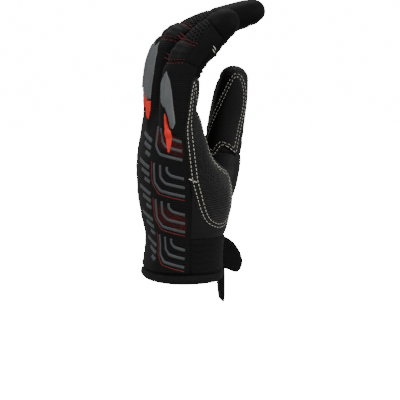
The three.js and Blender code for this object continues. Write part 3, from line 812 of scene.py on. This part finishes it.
def front_relief(points, place, border):
    at, angle = place[:, AT], place[:, ANGLE]
    in_front = np.exp(-((np.abs(angle) - 180) / 40) ** 2)
    folds = FRONT_FOLD * np.sin(at * 0.8 + np.sin(angle * 0.06)) * in_front
    above_crease = np.exp(-((at - 47) / 7) ** 2) * in_front
    bunched = BUNCHING * np.cos((at - 43) * math.tau / BUNCH_PITCH) * above_crease
    return CAP_STEP + (folds + bunched) * np.clip(border / 4, 0, 1)


def little_front_relief(points, place, border):
    """The little finger's leather has one small hard fold, where the tack at its crease gathers it."""
    lump = np.exp(-((place[:, AT] - 67.5) / 1.5) ** 2 - ((place[:, ANGLE] + 168) / 12) ** 2)
    return front_relief(points, place, border) + TACK_LUMP * lump


def fourchette_relief(points, place, border):
    return STRIP_RIB * np.sin(place[:, AT] * math.tau / STRIP_RIB_PITCH) * np.clip(border / 1.5, 0, 1)


def air_mesh_finish():
    finish = Finish("hexagon_air_mesh", Specular_IOR_Level=0.22, Sheen_Weight=0.03)
    around, along, _ = finish.lay()
    tall = math.sqrt(3)
    nearest = []
    for shift in (0.0, 0.5):
        a = ((around / HEXAGON + shift).math("FLOORED_MODULO", 1.0) - 0.5).math("ABSOLUTE")
        b = ((along / HEXAGON + shift * tall).math("FLOORED_MODULO", tall) - tall / 2).math("ABSOLUTE")
        nearest.append(a.math("MAXIMUM", a * 0.5 + b * (tall / 2)) * 2)
    rib = nearest[0].math("MINIMUM", nearest[1]).step(0.62, 0.86)
    yarn = finish.noise(finish.place(), 0.7, 2.0)
    # Painted light and shade: the ribs between the holes get a lighter lit tone with random yarn variation,
    # and the holes a near-black painted shade.
    lit = finish.mixed(yarn, grey(0.004), grey(0.0095))
    finish.feed("Base Color", finish.mixed(rib, grey(0.0008), lit))
    finish.feed("Roughness", 0.85 - rib * 0.25)
    finish.bump(rib + yarn * 0.2, 0.25)
    return finish.material


def band_finish():
    finish = Finish("smooth_band", Specular_IOR_Level=0.2, Sheen_Weight=0.015, Sheen_Roughness=0.4)
    where = finish.place()
    patchy, fine = finish.noise(where, 9.0), finish.noise(where, 0.35, 2.0)
    finish.feed("Base Color", finish.mixed(patchy, grey(0.0012), grey(0.005, (0.9, 1.1, 1))))
    finish.feed("Roughness", 0.5 + patchy * 0.15 + fine * 0.1)
    finish.bump(fine, 0.08)
    return finish.material


air_mesh = air_mesh_finish()
smooth_band = band_finish()
strip_knit = knit_finish("strip_knit", 0.9, 0.14, 0.001, 0.005, (1, 1, 1.15), 0.015)
cap_leather = leather_finish("fingertip_leather", 0.0008, 0.003, 0.55, 0.6, 0.14)
for part, limb in enumerate(FINGERS):
    band, mesh, cap, crease = (limb.seams[key] for key in ["band", "mesh", "cap", "crease"])
    here = face_part == part
    edge = back_edge(limb, face_at)
    back = here & ~palm_side & (np.abs(face_angle) < edge)
    side = here & ~palm_side & (np.abs(face_angle) >= edge) & (face_slanted > band) & (face_at < cap)
    around = 2 * BACK_EDGE * math.radians(FINGER_RADIUS) * MM
    on_band = back & (face_slanted > band) & (face_slanted < mesh)
    piece = panel(f"{limb.name}_band", on_band, band_relief)
    sewn(
        piece, f"{limb.name}_knuckle_band", slot="knit", finish=smooth_band,
        rests_on="back_knit", length=around,
    )
    on_mesh = back & (face_slanted > mesh) & (face_at < cap)
    piece = panel(f"{limb.name}_air_mesh", on_mesh, mesh_relief, fine=1)
    sewn(
        piece, f"{limb.name}_mesh", slot="air_mesh", finish=air_mesh,
        rests_on=f"{limb.name}_band", length=around,
    )
    for where, turned in [("inner", face_angle > 0), ("outer", face_angle < 0)]:
        piece = panel(f"{limb.name}_strip_{where}", side & turned, fourchette_relief)
        sewn(
            piece, f"{limb.name}_fourchette_{where}", slot="knit", finish=strip_knit,
            rests_on=f"{limb.name}_air_mesh", length=(cap - band) * MM,
        )
    tip = here & ((palm_side & (face_at > crease)) | (face_at > cap))
    piece = panel(f"{limb.name}_fingertip", tip, little_front_relief if limb is LITTLE else front_relief)
    sewn(
        piece, f"{limb.name}_front", slot="leather", finish=cap_leather, rests_on="palm_leather", length=0.06
    )


# The thumb: a back and a front of the palm's leather, sewn together along both edges and closed over the tip.
# Its root is part of the palm panel.
THUMB_FOLD = 0.4


def thumb_relief(points, place, border):
    at = place[:, AT]
    folds = THUMB_FOLD * np.sin((at - 62) * 0.7) * np.exp(-((at - 66) / 9) ** 2)
    return folds * np.clip(border / 4, 0, 1)


past_root = on_thumb & (face_at > THUMB.seams["start"])
thumb_back = past_root & (np.abs(face_angle) < THUMB_EDGE) & (face_at < THUMB.seams["cap"])
for node, chosen in [("thumb_back", thumb_back), ("thumb_front", past_root & ~thumb_back)]:
    piece = panel(f"{node}_leather", chosen, thumb_relief)
    sewn(piece, node, slot="leather", finish=leather, rests_on="palm_leather", length=0.07)


# The palm pad: a padded patch of ribbed grip leather over the heel of the palm, sewn down with a double row.
# It is the first of the raised pieces, which lie on the skin: each is cut out flat in a chart and cast onto
# the glove.
SUNK = 0.5
WELL_OUTSIDE = 90
CAST_REACH = 60
LIMB_CAST = (12.0, -4.0)
PAD_PITCH = 0.65
PAD_FACING = -45
PAD_EDGE = 1.25
SEWN_DOWN = 0.35
PAD_ROWS = (1.6, 4.0)
PAD_ROW_WIDTH = 0.7
PAD_GROOVE = 0.35
PAD_THINS = (98, 126)
PAD_OUTLINE = [
    (-33.5, 147), (-35, 122.5), (-35.6, 111), (-34.6, 94.7), (-33, 78), (-30.4, 66.5), (-26.7, 54.6),
    (-22, 46), (-16.3, 41.8), (-8.6, 39.6), (0.6, 41.2), (6.2, 48), (6.6, 62), (7, 76), (3.6, 80.8),
    (-3.5, 84), (-8, 92), (-9.5, 104), (-11, 113), (-16, 124), (-23, 136), (-27, 147),
]
skin_tree = BVHTree.FromPolygons(skin.points.tolist(), skin.faces.tolist())


def smooth_outline(corners, per_side=8):
    """A smooth closed curve through corner points."""
    corners = np.array(corners, float)
    u = np.linspace(0, 1, per_side, endpoint=False)[:, None]
    sides = []
    for i in range(len(corners)):
        a, b, c, d = (corners[(i + k) % len(corners)] for k in (-1, 0, 1, 2))
        bend, twist = 2 * a - 5 * b + 4 * c - d, 3 * b - a - 3 * c + d
        sides.append(0.5 * (2 * b + (c - a) * u + bend * u ** 2 + twist * u ** 3))
    return np.vstack(sides)


def inside_distance(points, outline):
    """Distance to a closed outline, above 0 inside it."""
    a, b = outline, np.roll(outline, -1, 0)
    best, inside = np.full(len(points), np.inf), np.zeros(len(points), bool)
    for p, q in zip(a, b):
        d = q - p
        t = np.clip(((points - p) @ d) / max(d @ d, 1e-9), 0, 1)
        best = np.minimum(best, np.linalg.norm(points - p - t[:, None] * d, axis=1))
        crosses = (p[1] > points[:, 1]) != (q[1] > points[:, 1])
        slope = d[0] / (d[1] if abs(d[1]) > 1e-9 else 1e-9)
        inside ^= crosses & (points[:, 0] < p[0] + (points[:, 1] - p[1]) * slope)
    return np.where(inside, best, -best)


def facing_chart(facing):
    """Looking at the glove square on from one side: across and up, cast inwards."""
    turn = math.radians(facing)
    outward = np.array([math.cos(turn), math.sin(turn), 0])
    across = np.array([-math.sin(turn), math.cos(turn), 0])

    def chart(flat):
        place = across * flat[:, :1] + UP * flat[:, 1:]
        return place + outward * WELL_OUTSIDE, np.broadcast_to(-outward, place.shape)

    return chart


def limb_chart(limb):
    """Along a limb and round it: flat x is millimetres round from a given middle, y is the distance along."""
    def chart(flat):
        angle = np.degrees(flat[:, 0] / FINGER_RADIUS)
        start, end = (limb.surface(flat[:, 1], angle, lift) for lift in LIMB_CAST)
        return start, unit(end - start)

    return chart


def cast(chart, flat, tree=skin_tree):
    """Places on the skin under the chart's places, with smooth normals."""
    starts, directions = chart(flat)
    hits, normals = np.zeros((len(flat), 3)), np.zeros((len(flat), 3))
    for i, (start, direction) in enumerate(zip(starts, directions)):
        hit = tree.ray_cast(Vector(start), Vector(direction))[0]
        if hit is None:
            hit = tree.find_nearest(Vector(start + direction * CAST_REACH))[0]
        corners = skin.faces[skin_tree.find_nearest(hit)[2]]
        gaps = np.linalg.norm(skin.points[corners] - np.array(hit), axis=1) + 1e-3
        hits[i] = hit
        normals[i] = (skin_normals[corners] / gaps[:, None]).sum(0)
    return hits, unit(normals)


def cut_out(outline, pitch):
    """A filled outline: its places, its triangles, and each place's distance from the edge."""
    low, high = outline.min(0) - 2 * pitch, outline.max(0) + 2 * pitch
    across, up = np.arange(low[0], high[0], pitch), np.arange(low[1], high[1], pitch)
    flat = np.stack(np.meshgrid(across, up), -1).reshape(-1, 2)
    corner = (np.arange(len(up) - 1)[:, None] * len(across) + np.arange(len(across) - 1)).ravel()
    right, over = corner + 1, corner + len(across)
    faces = np.vstack([np.stack([corner, right, over + 1], 1), np.stack([corner, over + 1, over], 1)])
    flat, faces = split(flat, faces, inside_distance(flat, outline))
    faces = faces[inside_distance(flat[faces].mean(1), outline) > 0]
    faces, flat = compact(faces, flat)
    return flat, faces, np.maximum(inside_distance(flat, outline), 0)


def raised(name, outline, chart, profile, pitch, raised_skin=None, full_height=1.0):
    """A raised piece on the skin. profile(distance from its edge, place in the chart) is its height.

    With raised_skin, the skin lifted by full_height, it keeps its outline as seen in the chart.
    """
    flat, faces, depth = cut_out(outline, pitch)
    hits, normals = cast(chart, flat)
    height = profile(depth, flat)[:, None]
    if raised_skin is None:
        outer = hits + normals * height
    else:
        outer = hits + (cast(chart, flat, raised_skin)[0] - hits) * height / full_height
    a, b, c = outer[faces[0]]
    if np.cross(b - a, c - a) @ normals[faces[0, 0]] < 0:
        faces = faces[:, ::-1]
    return thick_sheet(name, outer, hits - normals * SUNK, faces, np.column_stack([flat, depth]))


def inset(outline, distance):
    """The outline moved inwards, as a closed line."""
    ahead = np.roll(outline, -1, 0) - np.roll(outline, 1, 0)
    inward = unit(np.stack([-ahead[:, 1], ahead[:, 0]], 1))
    moved = outline + inward * distance
    if inside_distance(moved, outline).mean() < 0:
        moved = outline - inward * distance
    return moved[inside_distance(moved, outline) > distance * 0.8]


STITCH_LENGTH = 2.2
STITCH_PITCH = 2.8
THREAD_RADIUS = 0.23
THREAD_SIDES = 6

# A ring of a stitch is a share of its length, its girth, and its height in thread radii.
STITCH_RINGS = [(0.0, 0.3, -0.7), (0.18, 0.85, 0.1), (0.5, 1.0, 0.45), (0.82, 0.85, 0.1), (1.0, 0.3, -0.7)]


def stitches(
    name, rows, chart, height, finish, radius=THREAD_RADIUS, length=STITCH_LENGTH, pitch=STITCH_PITCH
):
    """Rows of thread stitches as one mesh. A row is a line in the chart, and height lifts it off the skin."""
    ends = []
    for row in rows:
        row = np.asarray(row, float)
        run = np.r_[0, np.cumsum(np.linalg.norm(np.diff(row, axis=0), axis=1))]
        starts = np.arange(0.3, run[-1] - length, pitch)
        for offset in (starts, starts + length):
            ends.append(np.stack([np.interp(offset, run, row[:, k]) for k in range(2)], 1))
    first, last = np.vstack(ends[0::2]), np.vstack(ends[1::2])
    starts, start_normals = cast(chart, first)
    stops, stop_normals = cast(chart, last)
    starts = starts + start_normals * height(first)[:, None]
    stops = stops + stop_normals * height(last)[:, None]
    up = unit(start_normals + stop_normals)
    run = stops - starts
    side = unit(np.cross(run, up))
    up = unit(np.cross(side, run))
    turn = np.arange(THREAD_SIDES) * math.tau / THREAD_SIDES
    rings = []
    for share, girth, lift in STITCH_RINGS:
        centre = starts + run * share + up * (lift * radius)
        round_it = up[:, None] * np.cos(turn)[:, None] + side[:, None] * np.sin(turn)[:, None]
        rings.append(centre[:, None] + round_it * radius * girth)
    lofts = [closed_loft(stitch) for stitch in np.stack(rings, 1)]
    faces = [some_faces + i * len(some_points) for i, (some_points, some_faces) in enumerate(lofts)]
    piece = made(name, np.vstack([some_points for some_points, _ in lofts]), np.vstack(faces))
    piece.data.materials.append(finish)
    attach(piece, "root")
    return piece


def thread_finish(name, dark, light):
    finish = Finish(name, Roughness=0.6, Specular_IOR_Level=0.4)
    ply = finish.noise(finish.place(), 0.5, 2.0)
    finish.feed("Base Color", finish.mixed(ply, dark, light))
    finish.bump(ply, 0.1)
    return finish.material


RIB_PITCH = 1.9


def grip_finish():
    """Grip leather with fine ribs: level at the heel of the hand, and rising towards the palm above it, with
    a painted highlight on each rib.
    """
    finish = Finish("grip_leather", Specular_IOR_Level=0.34)
    across, up, _ = finish.lay()
    slope = up.step(55.0, 105.0) * 1.1
    rib = ((up - across * slope + across * across * 0.004) * (math.tau / RIB_PITCH)).math("SINE")
    grain = finish.noise(finish.place(), 0.6)
    broad = finish.noise(finish.place(), 12.0)
    # Painted highlight on the rib tops and painted shade in the grooves, varied by broad random patches.
    painted_rib_highlight = rib.step(0.1, 1.0) * (broad + 0.3)
    finish.feed("Base Color", finish.mixed(painted_rib_highlight, grey(0.0006), grey(0.03, (1, 1, 0.97))))
    finish.feed("Roughness", 0.4 + broad * 0.1 - rib * 0.1)
    finish.bump(rib + grain * 0.15, 0.5)
    return finish.material


def pad_profile(depth, flat):
    rows = sum(np.exp(-((depth - row) / PAD_ROW_WIDTH) ** 2) for row in PAD_ROWS)
    thin = smoothstep(*PAD_THINS, flat[:, 1]) * smoothstep(1.2, 4.5, depth)
    edge = (1 - np.exp(-(depth / 0.7) ** 2)) * (1 - 0.6 * thin)
    padding = smoothstep(PAD_ROWS[1], PAD_ROWS[1] + 9, depth) * (0.9 - smoothstep(105, 135, flat[:, 1]))
    return SEWN_DOWN + edge * PAD_EDGE + padding - PAD_GROOVE * rows - 0.5 * thin


def pad_height(flat):
    """How high the pad stands at places in its chart."""
    return pad_profile(np.maximum(inside_distance(flat, pad_outline), 0), flat)


pad_chart = facing_chart(PAD_FACING)
pad_outline = smooth_outline(PAD_OUTLINE)
pad = raised("palm_grip_pad", pad_outline, pad_chart, pad_profile, PAD_PITCH)
pad.data.materials.append(grip_finish())
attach(pad, "root")
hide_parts("palm_pad")
white_thread = thread_finish("off_white_thread", grey(0.65, (1, 0.98, 0.8)), grey(0.95, (1, 0.98, 0.82)))
pad_rows = [inset(pad_outline, row) for row in PAD_ROWS]
pad_stitches = stitches("pad_stitches", pad_rows, pad_chart, pad_height, white_thread)
tack_row = [(-33.4, 78), (-27.4, 74)]
pad_tack = stitches(
    "pad_tack", [tack_row], pad_chart, lambda flat: pad_height(flat) + 0.1, white_thread, radius=0.4
)


# The thumb patch: a second layer of leather over the thumb's front, sewn down with a double row of off-white
# thread. Its lower edge is cut in a W.
PATCH_BASE, PATCH_HEIGHT = 0.5, 0.9
PATCH_ROWS = (1.3, 3.2)
PATCH_ROW_WIDTH = 0.6
PATCH_GROOVE = 0.25
PATCH_LEFT = [(60, 262), (65, 260), (83, 241), (93, 231), (106, 217), (114, 208), (118.5, 198), (120, 188)]
PATCH_RIGHT = [(120, 166), (118.5, 156), (114, 142), (106, 131), (93, 128), (83, 132), (65, 138), (55, 142)]
PATCH_FOOT = [(62, 187), (51.5, 203)]


def fine_outline(corners, step=1.0):
    """A closed line with straight sides, with points close together."""
    sides = []
    for a, b in zip(corners, np.roll(corners, -1, 0)):
        count = max(int(np.linalg.norm(b - a) / step), 1)
        sides.append(a + (b - a) * np.linspace(0, 1, count, endpoint=False)[:, None])
    return np.vstack(sides)


def patch_profile(depth, flat):
    rows = sum(np.exp(-((depth - row) / PATCH_ROW_WIDTH) ** 2) for row in PATCH_ROWS)
    return PATCH_BASE + PATCH_HEIGHT * (1 - np.exp(-(depth / 0.5) ** 2)) - PATCH_GROOVE * rows


def patch_stands(flat):
    """How high the patch stands at places in its chart."""
    return patch_profile(np.maximum(inside_distance(flat, patch_outline), 0), flat)


thumb_chart = limb_chart(THUMB)
patch_corners = PATCH_LEFT + PATCH_RIGHT + PATCH_FOOT
patch_corners = np.array([(math.radians(angle) * FINGER_RADIUS, at) for at, angle in patch_corners])
patch_outline = fine_outline(patch_corners)
thumb_patch = raised("thumb_patch_leather", patch_outline, thumb_chart, patch_profile, 0.7)
sewn(thumb_patch, "thumb_patch", slot="leather", finish=leather, rests_on="thumb_front_leather", length=0.062)
patch_rows = [inset(patch_outline, row) for row in PATCH_ROWS]
thumb_stitches = stitches("thumb_stitches", patch_rows, thumb_chart, patch_stands, white_thread)


# Thread across the fingers: two rows of red stitches at each end of every knuckle band, and a white tack at
# the little finger's crease.
RED_ROWS = (-1.2, 1.0)
TACK_ROWS = [[(-118, 68.8), (-142, 68.0)], [(-112, 70.8), (-136, 70.0)]]


def level(height):
    return lambda flat: np.full(len(flat), height)


red_thread = thread_finish("red_thread", (0.07, 0.004, 0.008, 1), (0.3, 0.02, 0.035, 1))
half = math.radians(BACK_EDGE) * FINGER_RADIUS
around = np.linspace(-half, half, 40)
for limb in FINGERS:
    rows = []
    for at in (limb.seams["band"], limb.seams["mesh"]):
        for offset in RED_ROWS:
            rows.append(np.stack([around, at + offset + slant(np.degrees(around / FINGER_RADIUS))], 1))
    piece = stitches(
        f"{limb.name}_red_stitches", rows, limb_chart(limb), level(0.1), red_thread,
        radius=0.22, length=1.6, pitch=2.2,
    )
rows = [[(math.radians(angle) * FINGER_RADIUS, at) for angle, at in row] for row in TACK_ROWS]
tack = stitches(
    "little_tack", rows, limb_chart(LITTLE), level(0.9), white_thread, radius=0.34, length=4.2, pitch=9.0
)


# The knuckle guards: grey rubber spears moulded onto the back of each finger's root, each with a flash of red
# rubber below it. The little finger's guard is wider, and sits on the side of the hand.
GUARD_HEIGHT = 3.0
FLASH_HEIGHT = 2.4
RUBBER_EDGE = 0.35
CHAMFER = 1.6
RIDGE_WIDTH = 5

# A corner is millimetres across from the finger's middle, and a share of the guard's length up from its foot.
BACK_GUARD = [
    (3, 1), (-2, 0.93), (-6, 0.8), (-7.2, 0.5), (-6.2, 0.2), (-2, 0.06), (1, 0), (5.6, 0), (6.4, 0.2),
    (7.3, 0.45), (7, 0.82),
]
BACK_FLASH = [(1.2, -0.02), (5.6, -0.02), (5.5, -0.18), (3.9, -0.37), (2.6, -0.3)]
SIDE_GUARD = [
    (0.2, 1), (-2.8, 0.93), (-6.2, 0.83), (-7.8, 0.76), (-6.2, 0.6), (-5.3, 0.43), (-3.3, 0.37), (-1, 0.33),
    (0.8, 0.2), (2.2, 0), (4.2, -0.02), (6, 0.09), (5.3, 0.43), (5, 0.62), (3.9, 0.82),
]
SIDE_FLASH = [
    (-1.6, 0.29), (0.1, 0.18), (1.6, -0.01), (2.9, -0.06), (2.3, -0.23), (0.7, -0.43), (-0.8, -0.43),
    (-2.7, -0.2), (-1.8, -0.02), (-1.7, 0.14),
]
SIDE_FACING = -130


def rubber_finish(name, dark, light, painted_rim_highlight):
    finish = Finish(name, Specular_IOR_Level=0.45)
    border = finish.lay()[2]
    where = finish.place()
    cloud, fine = finish.noise(where, 7.0), finish.noise(where, 0.3, 2.0)
    body = finish.mixed(cloud, dark, light)
    # Near the edge the colour turns lighter: a painted highlight along the rim.
    edge = 1 - border.step(0.2, 1.1)
    finish.feed("Base Color", finish.mixed(edge * 0.55, body, painted_rim_highlight))
    finish.feed("Roughness", 0.48 + cloud * 0.12 + fine * 0.06)
    finish.bump(fine, 0.05)
    return finish.material


def guard_profile(middle, foot, long):
    def profile(depth, flat):
        thinner = 1 - 0.5 * smoothstep(0.45, 1, (flat[:, 1] - foot) / long)
        chamfer = np.minimum(depth / CHAMFER, 1) * thinner
        ridge = np.clip(1 - np.abs(flat[:, 0] - middle) / RIDGE_WIDTH, 0, 1)
        return RUBBER_EDGE + (GUARD_HEIGHT - 1.1) * chamfer + ridge * chamfer

    return profile


def flash_profile(depth, flat):
    return RUBBER_EDGE + FLASH_HEIGHT * np.minimum(depth, 1) ** 0.8


# The third colour of each rubber is a painted highlight along its rim.
guard_rubber = rubber_finish(
    "guard_rubber", grey(0.085, (0.95, 1.03, 1.08)), grey(0.13, (0.97, 1.02, 1.04)), grey(0.26, (1, 1, 0.94))
)
flash_rubber = rubber_finish("flash_rubber", (0.9, 0.012, 0.006, 1), (1, 0.02, 0.01, 1), (1, 0.06, 0.03, 1))
over_skin = BVHTree.FromPolygons((skin.points + skin_normals * GUARD_HEIGHT).tolist(), skin.faces.tolist())
for limb in FINGERS:
    foot, middle, long = (limb.seams[key] for key in ["foot", "across", "guard_length"])
    on_side = limb is LITTLE
    chart = facing_chart(SIDE_FACING if on_side else 180)
    guard_shape, flash_shape = (SIDE_GUARD, SIDE_FLASH) if on_side else (BACK_GUARD, BACK_FLASH)
    for kind, node, outline, profile, finish in [
        ("guard", "guard", guard_shape, guard_profile(middle, foot, long), guard_rubber),
        ("flash", "guard_flash", flash_shape, flash_profile, flash_rubber),
    ]:
        placed = np.array([(middle + across, foot + along * long) for across, along in outline])
        edge = fine_outline(placed, 2.0)
        piece = raised(f"{limb.name}_{kind}_rubber", edge, chart, profile, 0.5, over_skin, GUARD_HEIGHT)
        piece.data.materials.append(finish)
        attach(piece, "root")
        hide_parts(f"{limb.name}_{node}")


# The back print: slate-grey rubber strokes printed on the knit as nested hooks and slanted bars, with thin
# red lines beside them. It is a plain repeated pattern, with no letters and no sign.
STROKE_WIDTH = 2.1
BAR_WIDTH = 2.9
LINE_WIDTH = 0.65
STROKE_HEIGHT = 0.3
STROKE_STEP = 0.7
STROKE_ACROSS = np.array([-1, -0.8, 0, 0.8, 1])
STROKE_ROUNDED = 4
EDGE_SHADE = 5
HAND_CAST = (14.0, -6.0)
cloth_tree = BVHTree.FromPolygons(
    [tuple(vertex.co / MM) for vertex in back_knit.data.vertices],
    [tuple(face.vertices) for face in back_knit.data.polygons],
)


def hand_chart(flat):
    """Round the hand and up it: flat x is millimetres round from the middle of the back, y is the height."""
    angle = np.degrees(flat[:, 0] / HAND_RADIUS)
    start, end = (hand_surface(flat[:, 1], angle, lift) for lift in HAND_CAST)
    return start, unit(end - start)


def stroke(line, width):
    """A stroke's places in the chart, in rows across it, with its corners rounded."""
    line = np.array(line, float)
    run = np.r_[0, np.cumsum(np.linalg.norm(np.diff(line, axis=0), axis=1))]
    at = np.linspace(0, run[-1], int(run[-1] / STROKE_STEP) + 1)
    centre = np.stack([np.interp(at, run, line[:, k]) for k in range(2)], 1)
    for _ in range(STROKE_ROUNDED):
        centre[1:-1] = (centre[:-2] + 2 * centre[1:-1] + centre[2:]) / 4
    ahead = unit(np.gradient(centre, axis=0))
    aside = np.stack([-ahead[:, 1], ahead[:, 0]], 1)
    return centre[:, None] + aside[:, None] * (STROKE_ACROSS * width / 2)[:, None]


def printed(name, lines, width, finish):
    """Printed strokes on the knit, as one mesh."""
    wide = len(STROKE_ACROSS)
    outer, inner, faces, lays, start = [], [], [], [], 0
    for line in lines:
        grid = stroke(line, width)
        rows = len(grid)
        flat = grid.reshape(-1, 2)
        hits, normals = cast(hand_chart, flat, cloth_tree)
        lift = np.tile([0, STROKE_HEIGHT, STROKE_HEIGHT, STROKE_HEIGHT, 0], (rows, 1))
        lift[[0, -1]] = 0
        outer.append(hits + normals * lift.reshape(-1, 1))
        inner.append(hits - normals * STROKE_HEIGHT)
        # The third lay value is 0 at a stroke's edges, where its rubber gets the painted rim highlight.
        lays.append(np.column_stack([flat, lift.ravel() * EDGE_SHADE]))
        corner = (np.arange(rows - 1)[:, None] * wide + np.arange(wide - 1)).ravel() + start
        ahead = corner + wide
        faces += [np.stack([corner, corner + 1, ahead + 1], 1), np.stack([corner, ahead + 1, ahead], 1)]
        start += len(flat)
    outer, inner, faces = np.vstack(outer), np.vstack(inner), np.vstack(faces)
    a, b, c = outer[faces[0]]
    if np.cross(b - a, c - a) @ (outer[faces[0, 0]] - inner[faces[0, 0]] + [1e-6, 0, 0]) < 0:
        faces = faces[:, ::-1]
    piece = thick_sheet(name, outer, inner, faces, np.vstack(lays))
    piece.data.materials.append(finish)
    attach(piece, "root")


def hooks(side, tops):
    """Nested hooks that open upwards, one set below another."""
    sets = [
        [(25, 0), (25, -14), (30, -19.5), (50, -23)], [(31, -1), (31, -10), (35, -14), (50, -16.7)],
        [(37, -2), (37, -5.5), (40, -8.2), (50, -10.4)],
    ]
    return [[(side * across, top + up) for across, up in line] for top in tops for line in sets]


def bars(side, tops):
    """Slanted bars in threes, each shorter than the one above it."""
    sets = [[(5, 0), (19.5, -5)], [(9, -6.6), (19.5, -10.2)], [(13, -13), (19.5, -15.2)]]
    return [[(side * across, top + up) for across, up in line] for top in tops for line in sets]


# The third colour of each print rubber is a painted highlight along the stroke's rim.
print_grey = rubber_finish(
    "print_grey", grey(0.05, (0.9, 1.02, 1.12)), grey(0.08, (0.93, 1.02, 1.08)), grey(0.1)
)
print_red = rubber_finish("print_red", (0.1, 0.006, 0.006, 1), (0.22, 0.01, 0.009, 1), (0.2, 0.01, 0.01, 1))
hook_lines = hooks(-1, [114, 88, 62, 36]) + hooks(1, [88, 62, 36])
bar_lines = bars(-1, [108, 89, 70, 51, 32]) + bars(1, [102, 83, 64, 45, 29])
printed("back_print_hooks", hook_lines, STROKE_WIDTH, print_grey)
printed("back_print_bars", bar_lines, BAR_WIDTH, print_grey)
red_lines = [
    [(side * 22.5, top + 1), (side * 22.5, top - 14.5), (side * 28.5, top - 22), (side * 50, top - 25.8)]
    for side, top in [(-1, 88), (-1, 62), (-1, 36), (1, 62)]
]
printed("back_print_lines", red_lines, LINE_WIDTH, print_red)


# The closure tab and the pull tab: a rounded flap of stiff webbing that stands off the palm side of the
# wrist, and a narrow tail of the same tape that hangs below it. Each is sewn to the wrist at one end.
SLAB_PITCH = 0.7
SLAB_ROUNDING = 1.2
FLAP_OUTLINE = [(27.3, 4), (27.3, 25), (35.5, 25.6), (44.6, 18.6), (49.8, 6.5), (46, -2.2), (36.4, 0.6)]
TAIL_OUTLINE = [(27.4, 6), (32.2, 6), (32.8, -10), (32.5, -20.5), (30.5, -20.5), (29, -8)]


def slab(name, outline, low_y, high_y, puff):
    """A flat piece in the glove's XZ plane, between two places in Y, with rounded edges."""
    flat, faces, depth = cut_out(outline, SLAB_PITCH)
    edge = puff * (1 - np.exp(-(depth / SLAB_ROUNDING) ** 2))
    front = np.column_stack([flat[:, 0], low_y - edge, flat[:, 1]])
    back = np.column_stack([flat[:, 0], high_y + edge, flat[:, 1]])
    return thick_sheet(name, front, back, faces, np.column_stack([flat, depth]))


for name, node, corners, low_y, high_y, puff in [
    ("closure_flap", "closure_tab", FLAP_OUTLINE, 18, 20, 0.8),
    ("pull_tape", "pull_tab", TAIL_OUTLINE, 4, 16, 0.2),
]:
    piece = slab(name, smooth_outline(corners, 6), low_y, high_y, puff)
    piece.data.materials.append(webbing)
    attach(piece, "root")
    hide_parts(node)


# The studio: a wide pale floor well below the glove, soft lights, and the camera at the photograph's angle.
# The floor and the room glow brightly only where the camera looks straight at them.
FLOOR_DROP = 0.25
FLOOR_HALF = 4
LIT_POINT = (0, 0, 0.1)
FLOOR_GLOW = 20.0
BACKDROP_GLOW = 16.0
ROOM_LIGHT = 0.45
AZIMUTH, ELEVATION, DISTANCE = -12, 8, 1.0
VIEW_RIGHT, VIEW_UP = 0.0126, 0.0562
PIXEL = 0.00074
FRAME_PIXELS = 400
SENSOR = 36

floor_corners = np.array([(-1, -1, 0), (1, -1, 0), (1, 1, 0), (-1, 1, 0)]) * FLOOR_HALF
floor = made("floor", floor_corners / MM, [(0, 1, 2, 3)])
floor.location.z = -FLOOR_DROP
floor_finish = Finish("pale_floor", Roughness=0.9, Emission_Color=(1, 1, 1, 1), Emission_Strength=FLOOR_GLOW)
dust = floor_finish.noise(floor_finish.place(), 300.0)
floor_finish.feed("Base Color", floor_finish.mixed(dust, grey(0.86), grey(0.9)))
floor.data.materials.append(floor_finish.material)
floor.visible_diffuse = floor.visible_glossy = False

world = bpy.data.worlds.new("studio")
world.use_nodes = True
room = world.node_tree
seen = room.nodes.new("ShaderNodeMapRange")
seen.inputs[3].default_value, seen.inputs[4].default_value = ROOM_LIGHT, BACKDROP_GLOW
room.links.new(room.nodes.new("ShaderNodeLightPath").outputs["Is Camera Ray"], seen.inputs[0])
room.nodes["Background"].inputs[0].default_value = (1, 1, 1, 1)
room.links.new(seen.outputs[0], room.nodes["Background"].inputs[1])
bpy.context.scene.world = world


def soft_light(name, place, size, power):
    data = bpy.data.lights.new(name, "AREA")
    data.energy = power
    data.size = size
    light = bpy.data.objects.new(name, data)
    light.location = place
    light.rotation_mode = "QUATERNION"
    light.rotation_quaternion = (Vector(LIT_POINT) - Vector(place)).to_track_quat("-Z", "Y")
    bpy.context.scene.collection.objects.link(light)


soft_light("key", (-0.9, -0.9, 0.9), 0.8, 10)
soft_light("fill", (1.0, -0.8, 0.5), 0.8, 6)
soft_light("top", (0.1, 0.3, 1.2), 0.8, 6)

turn, tilt = math.radians(AZIMUTH), math.radians(ELEVATION)
back = Vector((math.sin(turn) * math.cos(tilt), -math.cos(turn) * math.cos(tilt), math.sin(tilt)))
right = Vector((math.cos(turn), math.sin(turn), 0))
up = right.cross(-back)
camera_data = bpy.data.cameras.new("camera")
camera_data.sensor_width = SENSOR
camera_data.lens = SENSOR * DISTANCE / (PIXEL * FRAME_PIXELS)
camera = bpy.data.objects.new("camera", camera_data)
camera.location = right * VIEW_RIGHT + up * VIEW_UP + back * DISTANCE
camera.rotation_mode = "QUATERNION"
camera.rotation_quaternion = (-back).to_track_quat("-Z", "Y")
bpy.context.scene.collection.objects.link(camera)
bpy.context.scene.camera = camera
